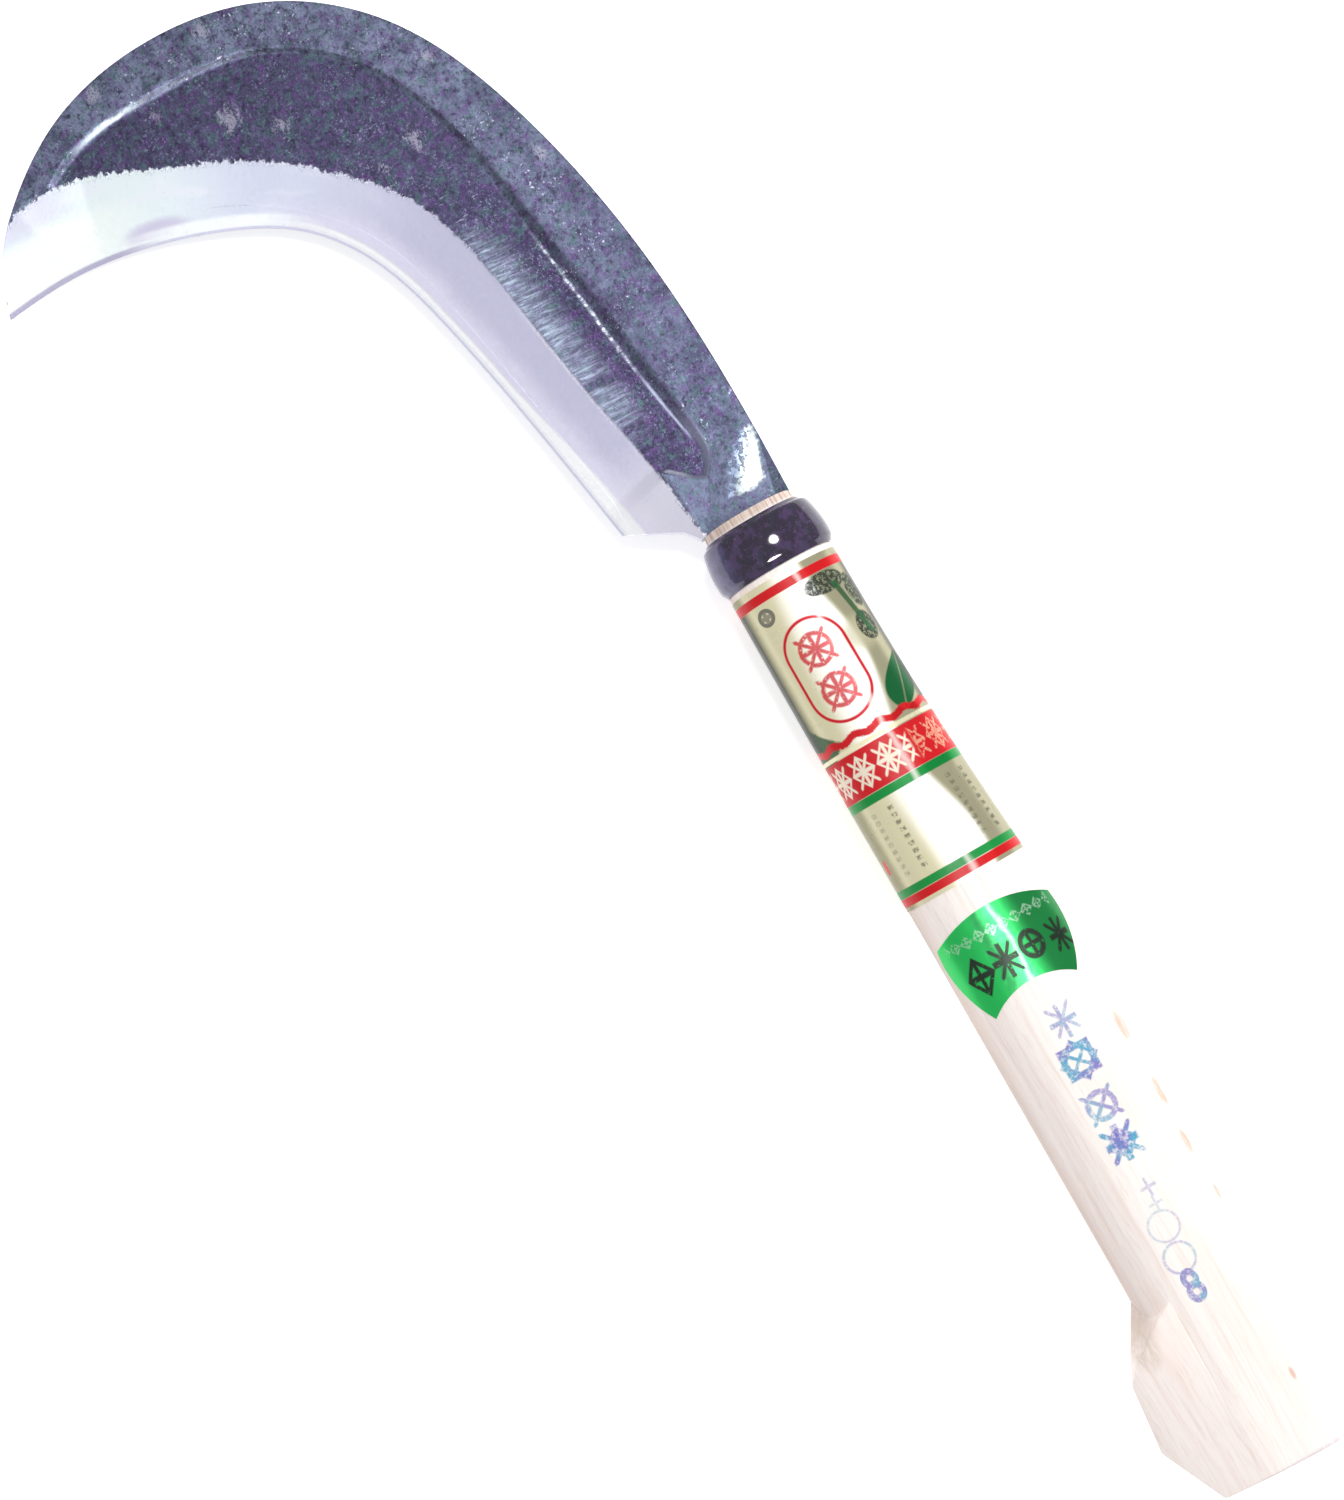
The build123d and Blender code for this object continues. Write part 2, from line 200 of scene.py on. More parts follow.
# Rows of ornaments round the grip: their middle and half length along it, and their pitch.
ORNAMENT_ROW = (73.7, 5.0)
ORNAMENT_PITCH = 7.4
SEAL_ROW = (124.4, 1.8)
SEAL_ROW_PITCH = 3.6
SMALL_PRINT = [(12.4, 1.0), (8.6, 0.7), (-7.5, 0.9), (-12.0, 0.45)]  # rows of marks: Y and strength
SHADED_COVE = ((233.0, -20.5), (7.5, 3.6))  # painted shade in the cove by the flare: middle and half sizes
# Darker flecks of grain: middle, and half length and half width.
GRAIN_FLECKS = [
    ((162, 16), (4.35, 1.09)), ((181, 16), (3.85, 1.0)), ((195, 15.4), (3.51, 0.75)),
    ((210, 16), (2.18, 0.67)), ((258, 9), (1.67, 0.59)),
]


# ==== geometry helpers ==============================================================================
PER_SPAN = 12  # points that a spline gets from one of its knots to the next


def spline_columns(points, per_span=PER_SPAN):
    """Natural cubic spline through rows of numbers, spaced by chord length in the first two."""
    p = np.array(points, float)
    chord = np.concatenate([[0], np.cumsum(np.linalg.norm(np.diff(p[:, :2], axis=0), axis=1))])
    step = np.diff(chord)
    n = len(p)
    system = np.eye(n)
    right = np.zeros_like(p)
    for i in range(1, n - 1):
        system[i, i - 1 : i + 2] = step[i - 1], 2 * (step[i - 1] + step[i]), step[i]
        right[i] = 6 * ((p[i + 1] - p[i]) / step[i] - (p[i] - p[i - 1]) / step[i - 1])
    bend = np.linalg.solve(system, right)
    rows = []
    for i in range(n - 1):
        for t in np.arange(per_span) / per_span * step[i]:
            a, b = step[i] - t, t
            rows.append(
                (bend[i] * a**3 + bend[i + 1] * b**3) / (6 * step[i])
                + (p[i] / step[i] - bend[i] * step[i] / 6) * a
                + (p[i + 1] / step[i] - bend[i + 1] * step[i] / 6) * b
            )
    return np.array([*rows, p[-1]])


def lengths(line):
    return np.concatenate([[0], np.cumsum(np.linalg.norm(np.diff(line, axis=0), axis=1))])


def at_share(line, share):
    """Points at these shares of a line's length."""
    run = lengths(line)
    return np.stack([np.interp(share * run[-1], run, line[:, k]) for k in range(line.shape[1])], -1)


def nearest_on(line, points):
    """Distance of each point from a line, positive on its left, and the place along it, 0 to 1."""
    run = lengths(line)
    best = np.full(len(points), np.inf)
    signed = np.zeros(len(points))
    place = np.zeros(len(points))
    for a, b, start in zip(line[:-1], line[1:], run[:-1]):
        along = b - a
        length = np.hypot(*along)
        rel = points - a
        t = np.clip(rel @ along / length**2, 0, 1)
        gap = rel - t[:, None] * along
        dist = np.hypot(gap[:, 0], gap[:, 1])
        side = np.sign(along[0] * rel[:, 1] - along[1] * rel[:, 0])
        closer = dist < best
        best = np.where(closer, dist, best)
        signed = np.where(closer, dist * side, signed)
        place = np.where(closer, (start + t * length) / run[-1], place)
    return signed, place


def inside(outline, points):
    """True for the points inside a closed outline."""
    hit = np.zeros(len(points), bool)
    for a, b in zip(outline, np.roll(outline, -1, axis=0)):
        spans = (a[1] > points[:, 1]) != (b[1] > points[:, 1])
        slope = (b[0] - a[0]) / ((b[1] - a[1]) or 1e-9)
        hit ^= spans & (points[:, 0] < a[0] + slope * (points[:, 1] - a[1]))
    return hit


def smooth_step(value):
    t = np.clip(value, 0, 1)
    return t * t * (3 - 2 * t)


def waves(points, size, seed):
    """Soft noise from -1 to 1 over points, with bumps of about this size."""
    shift = Vector((seed * 17.3, seed * 5.1, seed * 9.7))
    return np.array([noise.noise(Vector(p) / size + shift) for p in points])


# ==== meshes ========================================================================================
def placement():
    """The tool's own axes, in millimetres, to the row frame, in metres."""
    low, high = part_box("tang_pin")
    turn = Euler((math.radians(REST_ROLL), math.radians(REST_PITCH), 0), "XYZ").to_matrix()
    origin = (low + high) / 2 - turn @ (PIN_CENTRE * MM)
    return Matrix.Translation(origin) @ turn.to_4x4() @ Matrix.Scale(MM, 4)


PLACE = placement()


def grid_faces(rows, columns, start=0, closed=False):
    """Quads of a grid of vertices; a closed one joins its last column to its first."""
    faces = []
    for i in range(rows - 1):
        for j in range(columns if closed else columns - 1):
            k = (j + 1) % columns
            a, b = start + i * columns, start + (i + 1) * columns
            faces.append((a + j, a + k, b + k, b + j))
    return faces


def ring_at(x, outline):
    return np.column_stack([np.full(len(outline), x), outline])


def outward(mesh):
    """Turns a mesh's faces outward."""
    work = bmesh.new()
    work.from_mesh(mesh)
    bmesh.ops.recalc_face_normals(work, faces=work.faces)
    work.to_mesh(mesh)
    work.free()


def make_piece(name, points, faces, fields, cad_nodes, material, sharp):
    """A piece of the tool, placed, with surface fields stored on its points; it is shaded smooth but
    for the edges that turn by more degrees than the last argument."""
    mesh = bpy.data.meshes.new(name)
    mesh.from_pydata([PLACE @ Vector(p) for p in points], [], faces)
    mesh.validate()
    outward(mesh)
    for key, values in {"tool": points, **fields}.items():
        values = np.asarray(values, np.float32)
        if values.ndim == 1:
            mesh.attributes.new(key, "FLOAT", "POINT").data.foreach_set("value", values)
        else:
            mesh.attributes.new(key, "FLOAT_VECTOR", "POINT").data.foreach_set("vector", values.ravel())
    mesh.shade_smooth()
    mesh.set_sharp_from_angle(angle=math.radians(sharp))
    mesh.materials.append(material)
    piece = bpy.data.objects.new(name, mesh)
    bpy.context.scene.collection.objects.link(piece)
    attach(piece, "root")
    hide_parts(*cad_nodes)


# ==== blade =========================================================================================
EDGE_LINE = spline_columns([TIP, *EDGE])
SPINE_LINE = spline_columns([*SPINE, TIP])[::-1]
LOWER_LINE = np.vstack([EDGE_LINE, HEEL])
GRIND_EDGE = np.vstack([EDGE_RUN_OUT[0], EDGE_LINE, EDGE_RUN_OUT[1]])
BEVEL_LINE = spline_columns([(*point, share) for point, share in BEVEL_TOP])
RIM_LINE = np.vstack([
    spline_columns([(*point, wall) for point, wall in HOLLOW_RIM]),
    [(*point, HEEL_WALL) for point in HOLLOW_FAR_SIDE[:2]],
])
HOLLOW_OUTLINE = np.vstack([RIM_LINE[:, :2], HOLLOW_FAR_SIDE[2:]])


def front_plane(xy):
    return NECK_SIDE_Z - DISTAL_TAPER * (xy[:, 0] * TAPER_DIRECTION[0] + xy[:, 1] * TAPER_DIRECTION[1])


def neck_height(xy):
    """Front of the neck's swelling, with the slope beside it and the chamfer along the spine."""
    x, y = xy.T
    sections = np.array(NECK_SECTIONS)
    flat_end, slope_end, front = (np.interp(x, sections[:, 0], sections[:, k]) for k in (1, 2, 3))
    start_z = sections[0, 3]
    slope = np.clip((y - slope_end) / (flat_end - slope_end), 0, 1)
    return np.where(x < sections[0, 0], -np.inf, start_z + (front - start_z) * slope)


def chamfer_height(xy):
    """The chamfer's plane, through its apex and its two corners at the shoulder."""
    front = NECK_SECTIONS[-1][3]
    apex = Vector((NECK_SECTIONS[1][0], NECK_SPINE_Y, NECK_SECTIONS[1][3]))
    top = Vector((0, NECK_SPINE_Y - NECK_CHAMFER[0], front))
    side = Vector((0, NECK_SPINE_Y, front - NECK_CHAMFER[1]))
    n = (top - apex).cross(side - apex)
    return apex.z - (n.x * (xy[:, 0] - apex.x) + n.y * (xy[:, 1] - apex.y)) / n.z


def blade_fields(xy):
    """Distances over the blade's plan: from the edge, into the bevel and into the hollow."""
    edge, _ = nearest_on(GRIND_EDGE, xy)
    _, along = nearest_on(EDGE_LINE, xy)
    bevel, top_place = nearest_on(BEVEL_LINE[:, :2], xy)
    rim, rim_place = nearest_on(RIM_LINE[:, :2], xy)
    rim = np.abs(rim) * np.where(inside(HOLLOW_OUTLINE, xy), 1, -1)
    places = lengths(BEVEL_LINE[:, :2])
    knots = slice(None, None, PER_SPAN)
    share = np.interp(top_place, places[knots] / places[-1], BEVEL_LINE[knots, 2])
    places = lengths(RIM_LINE[:, :2])
    wall = np.interp(rim_place, places / places[-1], RIM_LINE[:, 2])
    return {"edge": np.abs(edge), "along": along, "bevel": -bevel, "rim": rim, "wall": wall, "share": share}


def front_height(xy, fields):
    """Height of the blade's front: the forged faces, and the bevel where it cuts below them."""
    plane = front_plane(xy)
    forged = np.minimum(np.maximum(plane, neck_height(xy)), chamfer_height(xy))
    sinking = smooth_step((xy[:, 1] - HOLLOW_START_Y) / HOLLOW_SINKING)
    forged = forged - HOLLOW_DEPTH * sinking * smooth_step(fields["rim"] / fields["wall"])
    top = plane - fields["share"] * HOLLOW_DEPTH
    low = BACK_Z + EDGE_LAND
    climb = fields["edge"] / (fields["edge"] + np.abs(fields["bevel"]) + 1e-6)
    ground = low + (top - low) * climb
    return np.where(fields["bevel"] > 0, np.minimum(ground, forged), forged)


def hammered(xy, z, fields):
    """The front with the unevenness of forging outside the bevel, and of hand grinding on it."""
    points = np.column_stack([xy, np.zeros(len(xy))])
    forged = 0.07 * waves(points, 7.0, 1) + 0.03 * waves(points, 2.6, 2)
    ground = 0.035 * waves(points, 16.0, 3)
    on_bevel = smooth_step(fields["bevel"] / 1.5)
    fade = smooth_step(fields["edge"] / 3.0)
    return z + fade * (forged * (1 - on_bevel) + ground * on_bevel)


def back_height(xy):
    """Back of the blade, dropping a little under the neck."""
    x, y = xy.T
    sections = np.array(NECK_SECTIONS)
    slope_end = np.interp(x, sections[:, 0], sections[:, 2])
    drop = np.clip(1 - x / sections[0, 0], 0, 1) * smooth_step(y - slope_end + 1)
    return BACK_Z - NECK_BACK_DROP * drop


def matched_lines():
    """Ends of the blade's cross-sections on the lower outline and on the spine, and the heel's number."""
    shares = []
    for line, k in ((LOWER_LINE, 0), (SPINE_LINE, 1)):
        _, place = nearest_on(line, np.array([pair[k] for pair in MATCHED]))
        place[0], place[-1] = 0, 1
        shares.append(place)
    heel = len(MATCHED) - 2
    run = lengths(np.array([pair[0] for pair in MATCHED]))
    steps = np.linspace(0, 1, BLADE_RINGS)
    steps[np.argmin(np.abs(steps - run[heel] / run[-1]))] = run[heel] / run[-1]
    lower = at_share(LOWER_LINE, np.interp(steps, run / run[-1], shares[0]))
    upper = at_share(SPINE_LINE, np.interp(steps, run / run[-1], shares[1]))
    return lower, upper, int(np.argmin(np.abs(steps - run[heel] / run[-1])))


def across(lower, upper, shares):
    """Points in plan at these shares of each cross-section, from the spine to the lower outline."""
    return upper[:, None] + (lower - upper)[:, None] * shares[..., None]


def lamination(lower, upper):
    """Share of each cross-section, from the spine, where the two steels meet: on the bevel, on the back."""
    steps = np.linspace(0, 1, LAMINATION_STEPS)
    xy = across(lower, upper, np.tile(steps, (len(lower), 1))).reshape(-1, 2)
    fields = blade_fields(xy)
    over_steel = front_height(xy, fields) - BACK_Z - EDGE_STEEL_THICKNESS
    past_reach = fields["edge"] - EDGE_STEEL_REACH * (fields["edge"] + fields["bevel"])
    lines = []
    for values in (over_steel, past_reach):
        values = values.reshape(len(lower), -1)
        last = values.shape[1] - 1 - np.argmax(values[:, ::-1] > 0, axis=1)
        last = np.where((values > 0).any(axis=1), np.minimum(last, values.shape[1] - 2), 0)
        rows = np.arange(len(lower))
        high, low = values[rows, last], values[rows, last + 1]
        lines.append(steps[last] + np.clip(high / (high - low + 1e-9), 0, 1) * steps[1])
    return lines


def skin(rings, start=0):
    """Points and faces of a capped tube through rings of points."""
    count = len(rings[0])
    end = start + len(rings) * count
    caps = [tuple(range(start, start + count)), tuple(range(end - 1, end - 1 - count, -1))]
    return np.vstack(rings), grid_faces(len(rings), count, start, closed=True) + caps


def body_rings(lower, upper, front, back, heel):
    """Cross-sections of the iron: over the front, down past the steel, and back round the spine."""
    count = len(lower)
    width = np.linalg.norm(lower - upper, axis=1) + 1e-9
    inset = np.minimum(CORNER_ROUND / width, 0.3)[:, None]
    turn = np.radians([0, 30, 60, 90])
    rounding = len(turn) - 1
    to_front = np.linspace(0, 1, BLADE_ACROSS)
    to_back = np.linspace(0, 1, BACK_ACROSS)
    shares = np.hstack([
        inset + (front[:, None] - inset) * to_front,
        front[:, None],
        back[:, None],
        back[:, None] + (inset - back[:, None]) * to_back,
        inset * (1 - np.sin(turn[1:])),
        inset * (1 - np.cos(turn[:-1])),
    ])
    xy = across(lower, upper, shares).reshape(-1, 2)
    fields = blade_fields(xy)
    top = hammered(xy, front_height(xy, fields), fields).reshape(count, -1)
    z = back_height(xy).reshape(count, -1)
    z[:, :BLADE_ACROSS] = top[:, :BLADE_ACROSS]
    z[: heel + 1, BLADE_ACROSS : BLADE_ACROSS + 2] = BACK_Z + EDGE_STEEL_THICKNESS
    z[heel + 1 :, BLADE_ACROSS] = top[heel + 1 :, BLADE_ACROSS - 1]
    radius = inset * width[:, None]
    z[:, -2 * rounding : -rounding] += radius * (1 - np.cos(turn[1:]))
    z[:, -rounding:] = top[:, :1] - radius * (1 - np.sin(turn[:-1]))
    return np.column_stack([xy, z.ravel()]).reshape(count, -1, 3), fields


def steel_rings(lower, upper, front, back):
    """Cross-sections of the steel: over the bevel, along the back and up to the iron."""
    count = len(lower)
    to_edge = np.linspace(0, 1, STEEL_ACROSS)
    shares = np.hstack([
        front[:, None] + (1 - front[:, None]) * to_edge,
        1 + (back[:, None] - 1) * to_edge,
        back[:, None],
    ])
    xy = across(lower, upper, shares).reshape(-1, 2)
    fields = blade_fields(xy)
    z = back_height(xy).reshape(count, -1)
    z[:, :STEEL_ACROSS] = front_height(xy, fields).reshape(count, -1)[:, :STEEL_ACROSS]
    z[:, -1] = BACK_Z + EDGE_STEEL_THICKNESS
    return np.column_stack([xy, z.ravel()]).reshape(count, -1, 3), fields


def tang_rings():
    """Ends of the tapered tang, hidden in the handle."""
    corners = np.array([(-1, -1), (1, -1), (1, 1), (-1, 1)]) / 2
    return [
        ring_at(x, corners * size + (TANG_Y, 0)) for x, size in ((0.0, TANG_ROOT), (TANG_LENGTH, TANG_END))
    ]


def blade_pieces(iron, hard_steel):
    """The blade's soft-iron body and the hard steel forged into its edge."""
    lower, upper, heel = matched_lines()
    front, back = lamination(lower, upper)
    past = np.ones(len(lower) - heel)
    rings, fields = body_rings(
        np.vstack([lower[: heel + 1], lower[heel:]]),
        np.vstack([upper[: heel + 1], upper[heel:]]),
        np.append(front[: heel + 1], past),
        np.append(back[: heel + 1], past),
        heel,
    )
    points, faces = skin(rings)
    tang_points, tang_faces = skin(tang_rings(), len(points))
    points = np.vstack([points, tang_points])
    faces += tang_faces
    fields = {key: np.append(fields[key], np.zeros(len(tang_points))) for key in SHADED_FIELDS}
    make_piece("forged_blade", points, faces, fields, ["blade_body"], iron, 40)
    steel = slice(0, heel + 1)
    rings, fields = steel_rings(lower[steel], upper[steel], front[steel], back[steel])
    points, faces = skin(rings)
    fields = {key: fields[key] for key in SHADED_FIELDS}
    make_piece("laminated_edge", points, faces, fields, ["edge_steel"], hard_steel, 40)


# ==== handle ========================================================================================
GRIP_LINE = spline_columns(GRIP_SECTIONS)
TENON_LINE = spline_columns(TENON_SECTIONS)


def section_at(sections, x):
    """The oval at one place along the handle: its low and high side, half depth and squareness."""
    return [np.interp(x, sections[:, 0], sections[:, k]) for k in range(1, 5)]


def oval(section, angles, grow=0.0):
    """Points across and out of the superellipse at these angles, which run from the spine side."""
    low, high, half_z, power = section
    cos, sin = np.cos(angles), np.sin(angles)
    y = (low + high) / 2 + ((high - low) / 2 + grow) * np.sign(cos) * np.abs(cos) ** (2 / power)
    z = (half_z + grow) * np.sign(sin) * np.abs(sin) ** (2 / power)
    return np.column_stack([y, z])


def ring_of(line, x, grow=0.0):
    """Ring of points round the handle's section at x, grown by this much."""
    angles = np.arange(HANDLE_AROUND) * 2 * np.pi / HANDLE_AROUND
    return ring_at(x, oval(section_at(line, x), angles, grow))


def angle_of(section, y):
    """Angle of the front point that lies at this y."""
    low, high, _, power = section
    share = np.clip((y - (low + high) / 2) * 2 / (high - low), -1, 1)
    return np.arccos(np.sign(share) * np.abs(share) ** (power / 2))


def flare_block():
    """Flat-sided flare: three outlines joined, cut by its leaning sides and the butt, edges eased."""
    outlines = []
    for side, outline in enumerate(FLARE_OUTLINES, start=-1):
        points = np.array([*outline, FLARE_TOE])
        for end, inner in ((0, 1), (-1, -2)):
            run = points[end] - points[inner]
            points[end] += run * (FLARE_ROOT - points[end][1]) / run[1]
        outlines.append(np.column_stack([points, np.full(len(points), side * FLARE_HALF_HEIGHT)]))
    mesh = bpy.data.meshes.new("flare")
    points, faces = skin(outlines)
    mesh.from_pydata(points.tolist(), [], faces)
    block = bmesh.new()
    block.from_mesh(mesh)
    slope = math.radians(FLARE_SLOPE)
    lean = math.radians(BUTT_SLOPE)
    cuts = [((HANDLE_LENGTH, 0, 0), (math.cos(lean), -math.sin(lean), 0))]
    for side in (1, -1):
        shoulder = (0, FLARE_SHOULDER[0], side * FLARE_SHOULDER[1])
        cuts.append((shoulder, (0, -math.sin(slope), side * math.cos(slope))))
    for point, normal in cuts:
        geometry = [*block.verts, *block.edges, *block.faces]
        cut = bmesh.ops.bisect_plane(
            block, geom=geometry, plane_co=point, plane_no=normal, clear_outer=True,
        )
        rim = [edge for edge in cut["geom_cut"] if isinstance(edge, bmesh.types.BMEdge)]
        bmesh.ops.edgeloop_fill(block, edges=rim)
    bmesh.ops.recalc_face_normals(block, faces=block.faces)
    corners = [edge for edge in block.edges if edge.calc_face_angle(0) > math.radians(20)]
    bmesh.ops.bevel(block, geom=corners, offset=CORNER_ROUND, segments=2, profile=0.5, affect="EDGES")
    block.to_mesh(mesh)
    block.free()
    return mesh


def joined(first, second):
    """Points and faces of one closed mesh from two that overlap."""
    parts = [bpy.data.objects.new(mesh.name, mesh) for mesh in (first, second)]
    for part in parts:
        outward(part.data)
        bpy.context.scene.collection.objects.link(part)
    union = parts[0].modifiers.new("union", "BOOLEAN")
    union.operation = "UNION"
    union.solver = "EXACT"
    union.object = parts[1]
    whole = parts[0].evaluated_get(bpy.context.evaluated_depsgraph_get()).to_mesh()
    points = [tuple(vertex.co) for vertex in whole.vertices]
    faces = [tuple(polygon.vertices) for polygon in whole.polygons]
    for part in parts:
        bpy.data.objects.remove(part)
    return points, faces


def handle_piece(wood):
    """The wooden handle: mortise, tenon, shoulder, grip, flare and sloping butt."""
    mortise = np.array([
        (x, TANG_Y - width / 2 - relief, TANG_Y + width / 2, thickness / 2, MORTISE_SQUARENESS)
        for x, (width, thickness), relief in ((0.0, TANG_ROOT, MORTISE_RELIEF), (TANG_LENGTH, TANG_END, 0.0))
    ])
    rings = [ring_of(mortise, TANG_LENGTH), ring_of(mortise, 0.0)]
    rings += [ring_of(TENON_LINE, x, -inset) for x, inset in ((0.0, 0.5), (0.1, 0.15), (0.5, 0.0))]
    rings += [ring_of(TENON_LINE, x) for x in np.linspace(1.0, FERRULE_END, 12)]
    rings.append(ring_of(GRIP_LINE, FERRULE_END, -0.2))
    slope = math.tan(math.radians(BUTT_SLOPE))
    for x in np.linspace(FERRULE_END + 0.3, HANDLE_LENGTH - BUTT_EASE, 120):
        ring = ring_of(GRIP_LINE, x)
        lean = np.clip((x - BUTT_LEAN_START) / (HANDLE_LENGTH - BUTT_LEAN_START), 0, 1)
        ring[:, 0] += slope * lean * ring[:, 1]
        rings.append(ring)
    for inset in (BUTT_EASE / 2, BUTT_EASE, 4.0, 8.0, 12.0):
        ring = ring_of(GRIP_LINE, HANDLE_LENGTH, -inset)
        ring[:, 0] += slope * ring[:, 1] - BUTT_SINK
        rings.append(ring)
    points, faces = skin(rings)
    grip = bpy.data.meshes.new("grip")
    grip.from_pydata(points.tolist(), [], faces)
    points, faces = joined(grip, flare_block())
    make_piece("wooden_handle", points, faces, {}, ["handle"], wood, 24)


def ferrule_piece(enamel):
    """The domed ring pressed on the tenon, closed along its bore."""
    rings = [
        ring_of(TENON_LINE, FERRULE_START + share * (FERRULE_END - FERRULE_START), height)
        for share, height in [*spline_columns(FERRULE_PROFILE, 6), (1.0, 0.02), (0.0, 0.02)]
    ]
    points = np.vstack(rings)
    faces = grid_faces(len(rings) + 1, HANDLE_AROUND, closed=True)
    faces = [tuple(i % len(points) for i in face) for face in faces]
    make_piece("enamelled_ferrule", points, faces, {}, ["ferrule"], enamel, 50)


# ==== foils =========================================================================================
def foil_sheet(name, x, angles, lift, fields, nodes, material):
    """A thin foil lying on the grip over a grid of places along it and angles round it."""
    rows, columns = x.shape
    sections = section_at(GRIP_LINE, x.ravel())
    layers = []
    for grow in (lift.ravel() + FOIL, lift.ravel()):
        layers.append(np.column_stack([x.ravel(), oval(sections, angles.ravel(), grow)]))
    points = np.vstack(layers)
    size = rows * columns
    faces = grid_faces(rows, columns)
    faces += [tuple(i + size for i in reversed(face)) for face in faces]
    grid = np.arange(size).reshape(rows, columns)
    border = [*grid[0], *grid[1:, -1], *grid[-1, -2::-1], *grid[-2:0:-1, 0]]
    for a, b in zip(border, [*border[1:], border[0]]):
        faces.append((b, a, a + size, b + size))
    doubled = {key: np.tile(values.ravel(), 2) for key, values in fields.items()}
    faces = [tuple(map(int, face)) for face in faces]
    make_piece(name, points, faces, doubled, nodes, material, 60)


def girth(x, angles):
    """Length round the grip from the middle of its front, towards the spine, at these angles."""
    around = np.linspace(-np.pi, 2 * np.pi, 721)
    outline = oval(section_at(GRIP_LINE, x), around)
    run = lengths(outline)
    return np.interp(np.pi / 2, around, run) - np.interp(angles, around, run)


def front_arc(y, x=64.0):
    """Length round the grip from the middle of its front to the place that shows at this y."""
    return float(girth(x, angle_of(section_at(GRIP_LINE, x), y)))


def wrap_piece(foil):
    """The printed foil wrap, lapped over itself along the back."""
    around = np.linspace(-np.pi / 2 - WRAP_LAP, 3 * np.pi / 2, WRAP_GRID[1])
    along = np.linspace(WRAP_START, WRAP_END, WRAP_GRID[0])
    x, angles = np.meshgrid(along, around, indexing="ij")
    under = smooth_step((around - (3 * np.pi / 2 - 1.6 * WRAP_LAP)) / (0.5 * WRAP_LAP))
    lift = np.tile(under * FOIL * 1.05, (len(along), 1))
    middle = girth((WRAP_START + WRAP_END) / 2, around)
    fields = {"print_x": x, "print_y": np.tile(middle, (len(along), 1))}
    foil_sheet("foil_wrap", x, angles, lift, fields, ["label"], foil)


def arc(start, middle, end, share):
    """Points along the arc through three points."""
    (ax, ay), (bx, by), (cx, cy) = start, middle, end
    d = 2 * (ax * (by - cy) + bx * (cy - ay) + cx * (ay - by))
    a2, b2, c2 = ax**2 + ay**2, bx**2 + by**2, cx**2 + cy**2
    ux = (a2 * (by - cy) + b2 * (cy - ay) + c2 * (ay - by)) / d
    uy = (a2 * (cx - bx) + b2 * (ax - cx) + c2 * (bx - ax)) / d
    first, mid, last = (math.atan2(y - uy, x - ux) for x, y in (start, middle, end))
    turn = (last - first + math.pi) % (2 * math.pi) - math.pi
    if abs((mid - first + math.pi) % (2 * math.pi) - math.pi) > abs(turn):
        turn -= math.copysign(2 * math.pi, turn)
    radius = math.hypot(ax - ux, ay - uy)
    angle = first + turn * share
    return np.column_stack([ux + radius * np.cos(angle), uy + radius * np.sin(angle)])


def seal_piece(foil):
    """The green foil seal: a patch between four arcs, pressed on the front of the grip."""
    shares = [np.linspace(0, 1, count) for count in SEAL_GRID]
    sides = []
    for k in range(4):
        line = arc(SEAL_CORNERS[k], SEAL_MIDDLES[k], SEAL_CORNERS[(k + 1) % 4], shares[k % 2])
        angle = [float(angle_of(section_at(GRIP_LINE, x), y)) for x, y in line]
        sides.append(np.column_stack([line[:, 0], angle]))
    near, far = sides[0], sides[2][::-1]
    start, end = sides[3][::-1], sides[1]
    u = shares[0][None, :, None]
    w = shares[1][:, None, None]
    patch = (1 - w) * near[None] + w * far[None] + (1 - u) * start[:, None] + u * end[:, None]
    patch -= (1 - w) * ((1 - u) * near[0] + u * near[-1]) + w * ((1 - u) * far[0] + u * far[-1])
    x, angles = patch[..., 0], patch[..., 1]
    fields = {"print_x": x, "print_y": girth(sum(x for x, _ in SEAL_CORNERS) / 4, angles)}
    lift = np.zeros_like(x)
    foil_sheet("green_seal", x, angles, lift, fields, ["green_sticker"], foil)


# ==== materials =====================================================================================
def srgb(r, g, b):
    """A colour given as it looks, from 0 to 255, in the values that shaders take."""
    return tuple((c / 255 / 12.92 if c < 10 else ((c / 255 + 0.055) / 1.055) ** 2.4) for c in (r, g, b))


